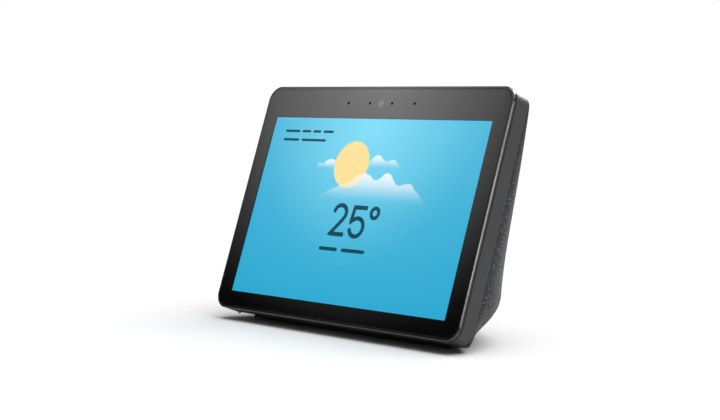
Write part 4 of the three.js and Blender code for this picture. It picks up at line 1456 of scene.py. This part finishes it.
keptNodes = {
    "steel": ["display_bracket", "shield_can", "service_socket", "left_driver_basket",
              "right_driver_basket"],
    "black_plastic": ["camera_module", "power_socket", "speaker_box", "speaker_box_cover", "radiator_frame"],
    "shell_plastic": ["rear_shell", "base_plate", "port_plate"],
    "circuit_board": ["microphone_board", "button_board", "main_board", "left_antenna", "right_antenna",
                      "port_board"],
    "aluminium": ["heat_spreader", "radiator_plate"],
    "ribbon_film": ["display_ribbon"],
    "rubber": ["left_driver_surround", "right_driver_surround", "radiator_surround"],
    "magnet": ["left_driver_magnet", "right_driver_magnet"],
    "cone_paper": ["left_driver_cone", "right_driver_cone"],
    "brass": ["power_pin"],
    "lead_jacket": ["power_lead", "left_speaker_lead", "right_speaker_lead"],
}

for finishName, nodes in keptNodes.items():
    for node in nodes:
        for slot in bpy.data.objects[node].material_slots:
            slot.material = nodeFinishes[finishName]
print("inner parts finished")


def makeFloor():
    finish = Finish("paleFloor", Specular_IOR_Level=0.2)
    tone = finish.noise(3, None, 3)
    colour = studio["floor"]
    finish.drive("Base Color", finish.ramp(tone, [(0.3, tinted(colour, 0.995)), (0.7, colour)]))
    finish.drive("Roughness", finish.spread(tone, 0.55, 0.65))
    mesh = bpy.data.meshes.new("floor")
    reach = studio["floorReach"]
    mesh.from_pydata([(-reach, -reach, 0), (reach, -reach, 0), (reach, reach, 0), (-reach, reach, 0)], [],
                     [(0, 1, 2, 3)])
    mesh.materials.append(finish.material)
    floor = link(bpy.data.objects.new("floor", mesh))
    pieceLamps.objects.link(floor)
    pieceLamps.collection_objects[0].light_linking.link_state = "EXCLUDE"


card = {
    "strength": 3.6,
    "halfSize": (0.6, 0.7),
    "fadeOver": (0.35, 0.40),
    "fadePower": 1.5,
    "seenFrom": (0.8, 0.6155, -0.327),  # the camera's place, mirrored in the face
    "seenAt": 176,  # the height up the face where its middle is mirrored
    "away": 2.35,
}


# A soft bright card that the glass mirrors, fading to its edges. The camera doesn't see it.
def makeCard():
    finish = Finish("glowCard")
    fadeX, fadeY = card["fadeOver"]
    place = {"Vector": finish.coordinates.outputs["Object"], "Scale": (1 / fadeX, 1 / fadeY, 1.0)}
    disc = finish.node("Mapping", place).outputs["Vector"]
    ball = finish.node("TexGradient", {"Vector": disc}, gradient_type="SPHERICAL").outputs["Fac"]
    fade = finish.math("POWER", ball, card["fadePower"])
    strength = finish.math("MULTIPLY", fade, card["strength"])
    glow = finish.node("Emission", {"Color": (1, 1, 1, 1), "Strength": strength})
    out = finish.tree.nodes["Material Output"]
    finish.tree.links.new(glow.outputs[0], out.inputs["Surface"])
    mesh = bpy.data.meshes.new("glowCard")
    x, y = card["halfSize"]
    mesh.from_pydata([(-x, -y, 0), (x, -y, 0), (x, y, 0), (-x, y, 0)], [], [(0, 1, 2, 3)])
    mesh.materials.append(finish.material)
    board = link(bpy.data.objects.new("glowCard", mesh))
    mirrored = Vector(card["seenFrom"])
    topMiddle = faceFrame @ Vector((0, 0, card["seenAt"] * mm))
    way = (topMiddle - mirrored).normalized()
    board.rotation_mode = "QUATERNION"
    board.rotation_quaternion = (-way).to_track_quat("Z", "Y")
    board.location = mirrored + way * card["away"]
    board.visible_camera = False
    board.visible_shadow = False


makeFloor()
makeCard()
scene.view_settings.view_transform = "Standard"
print("studio ready")
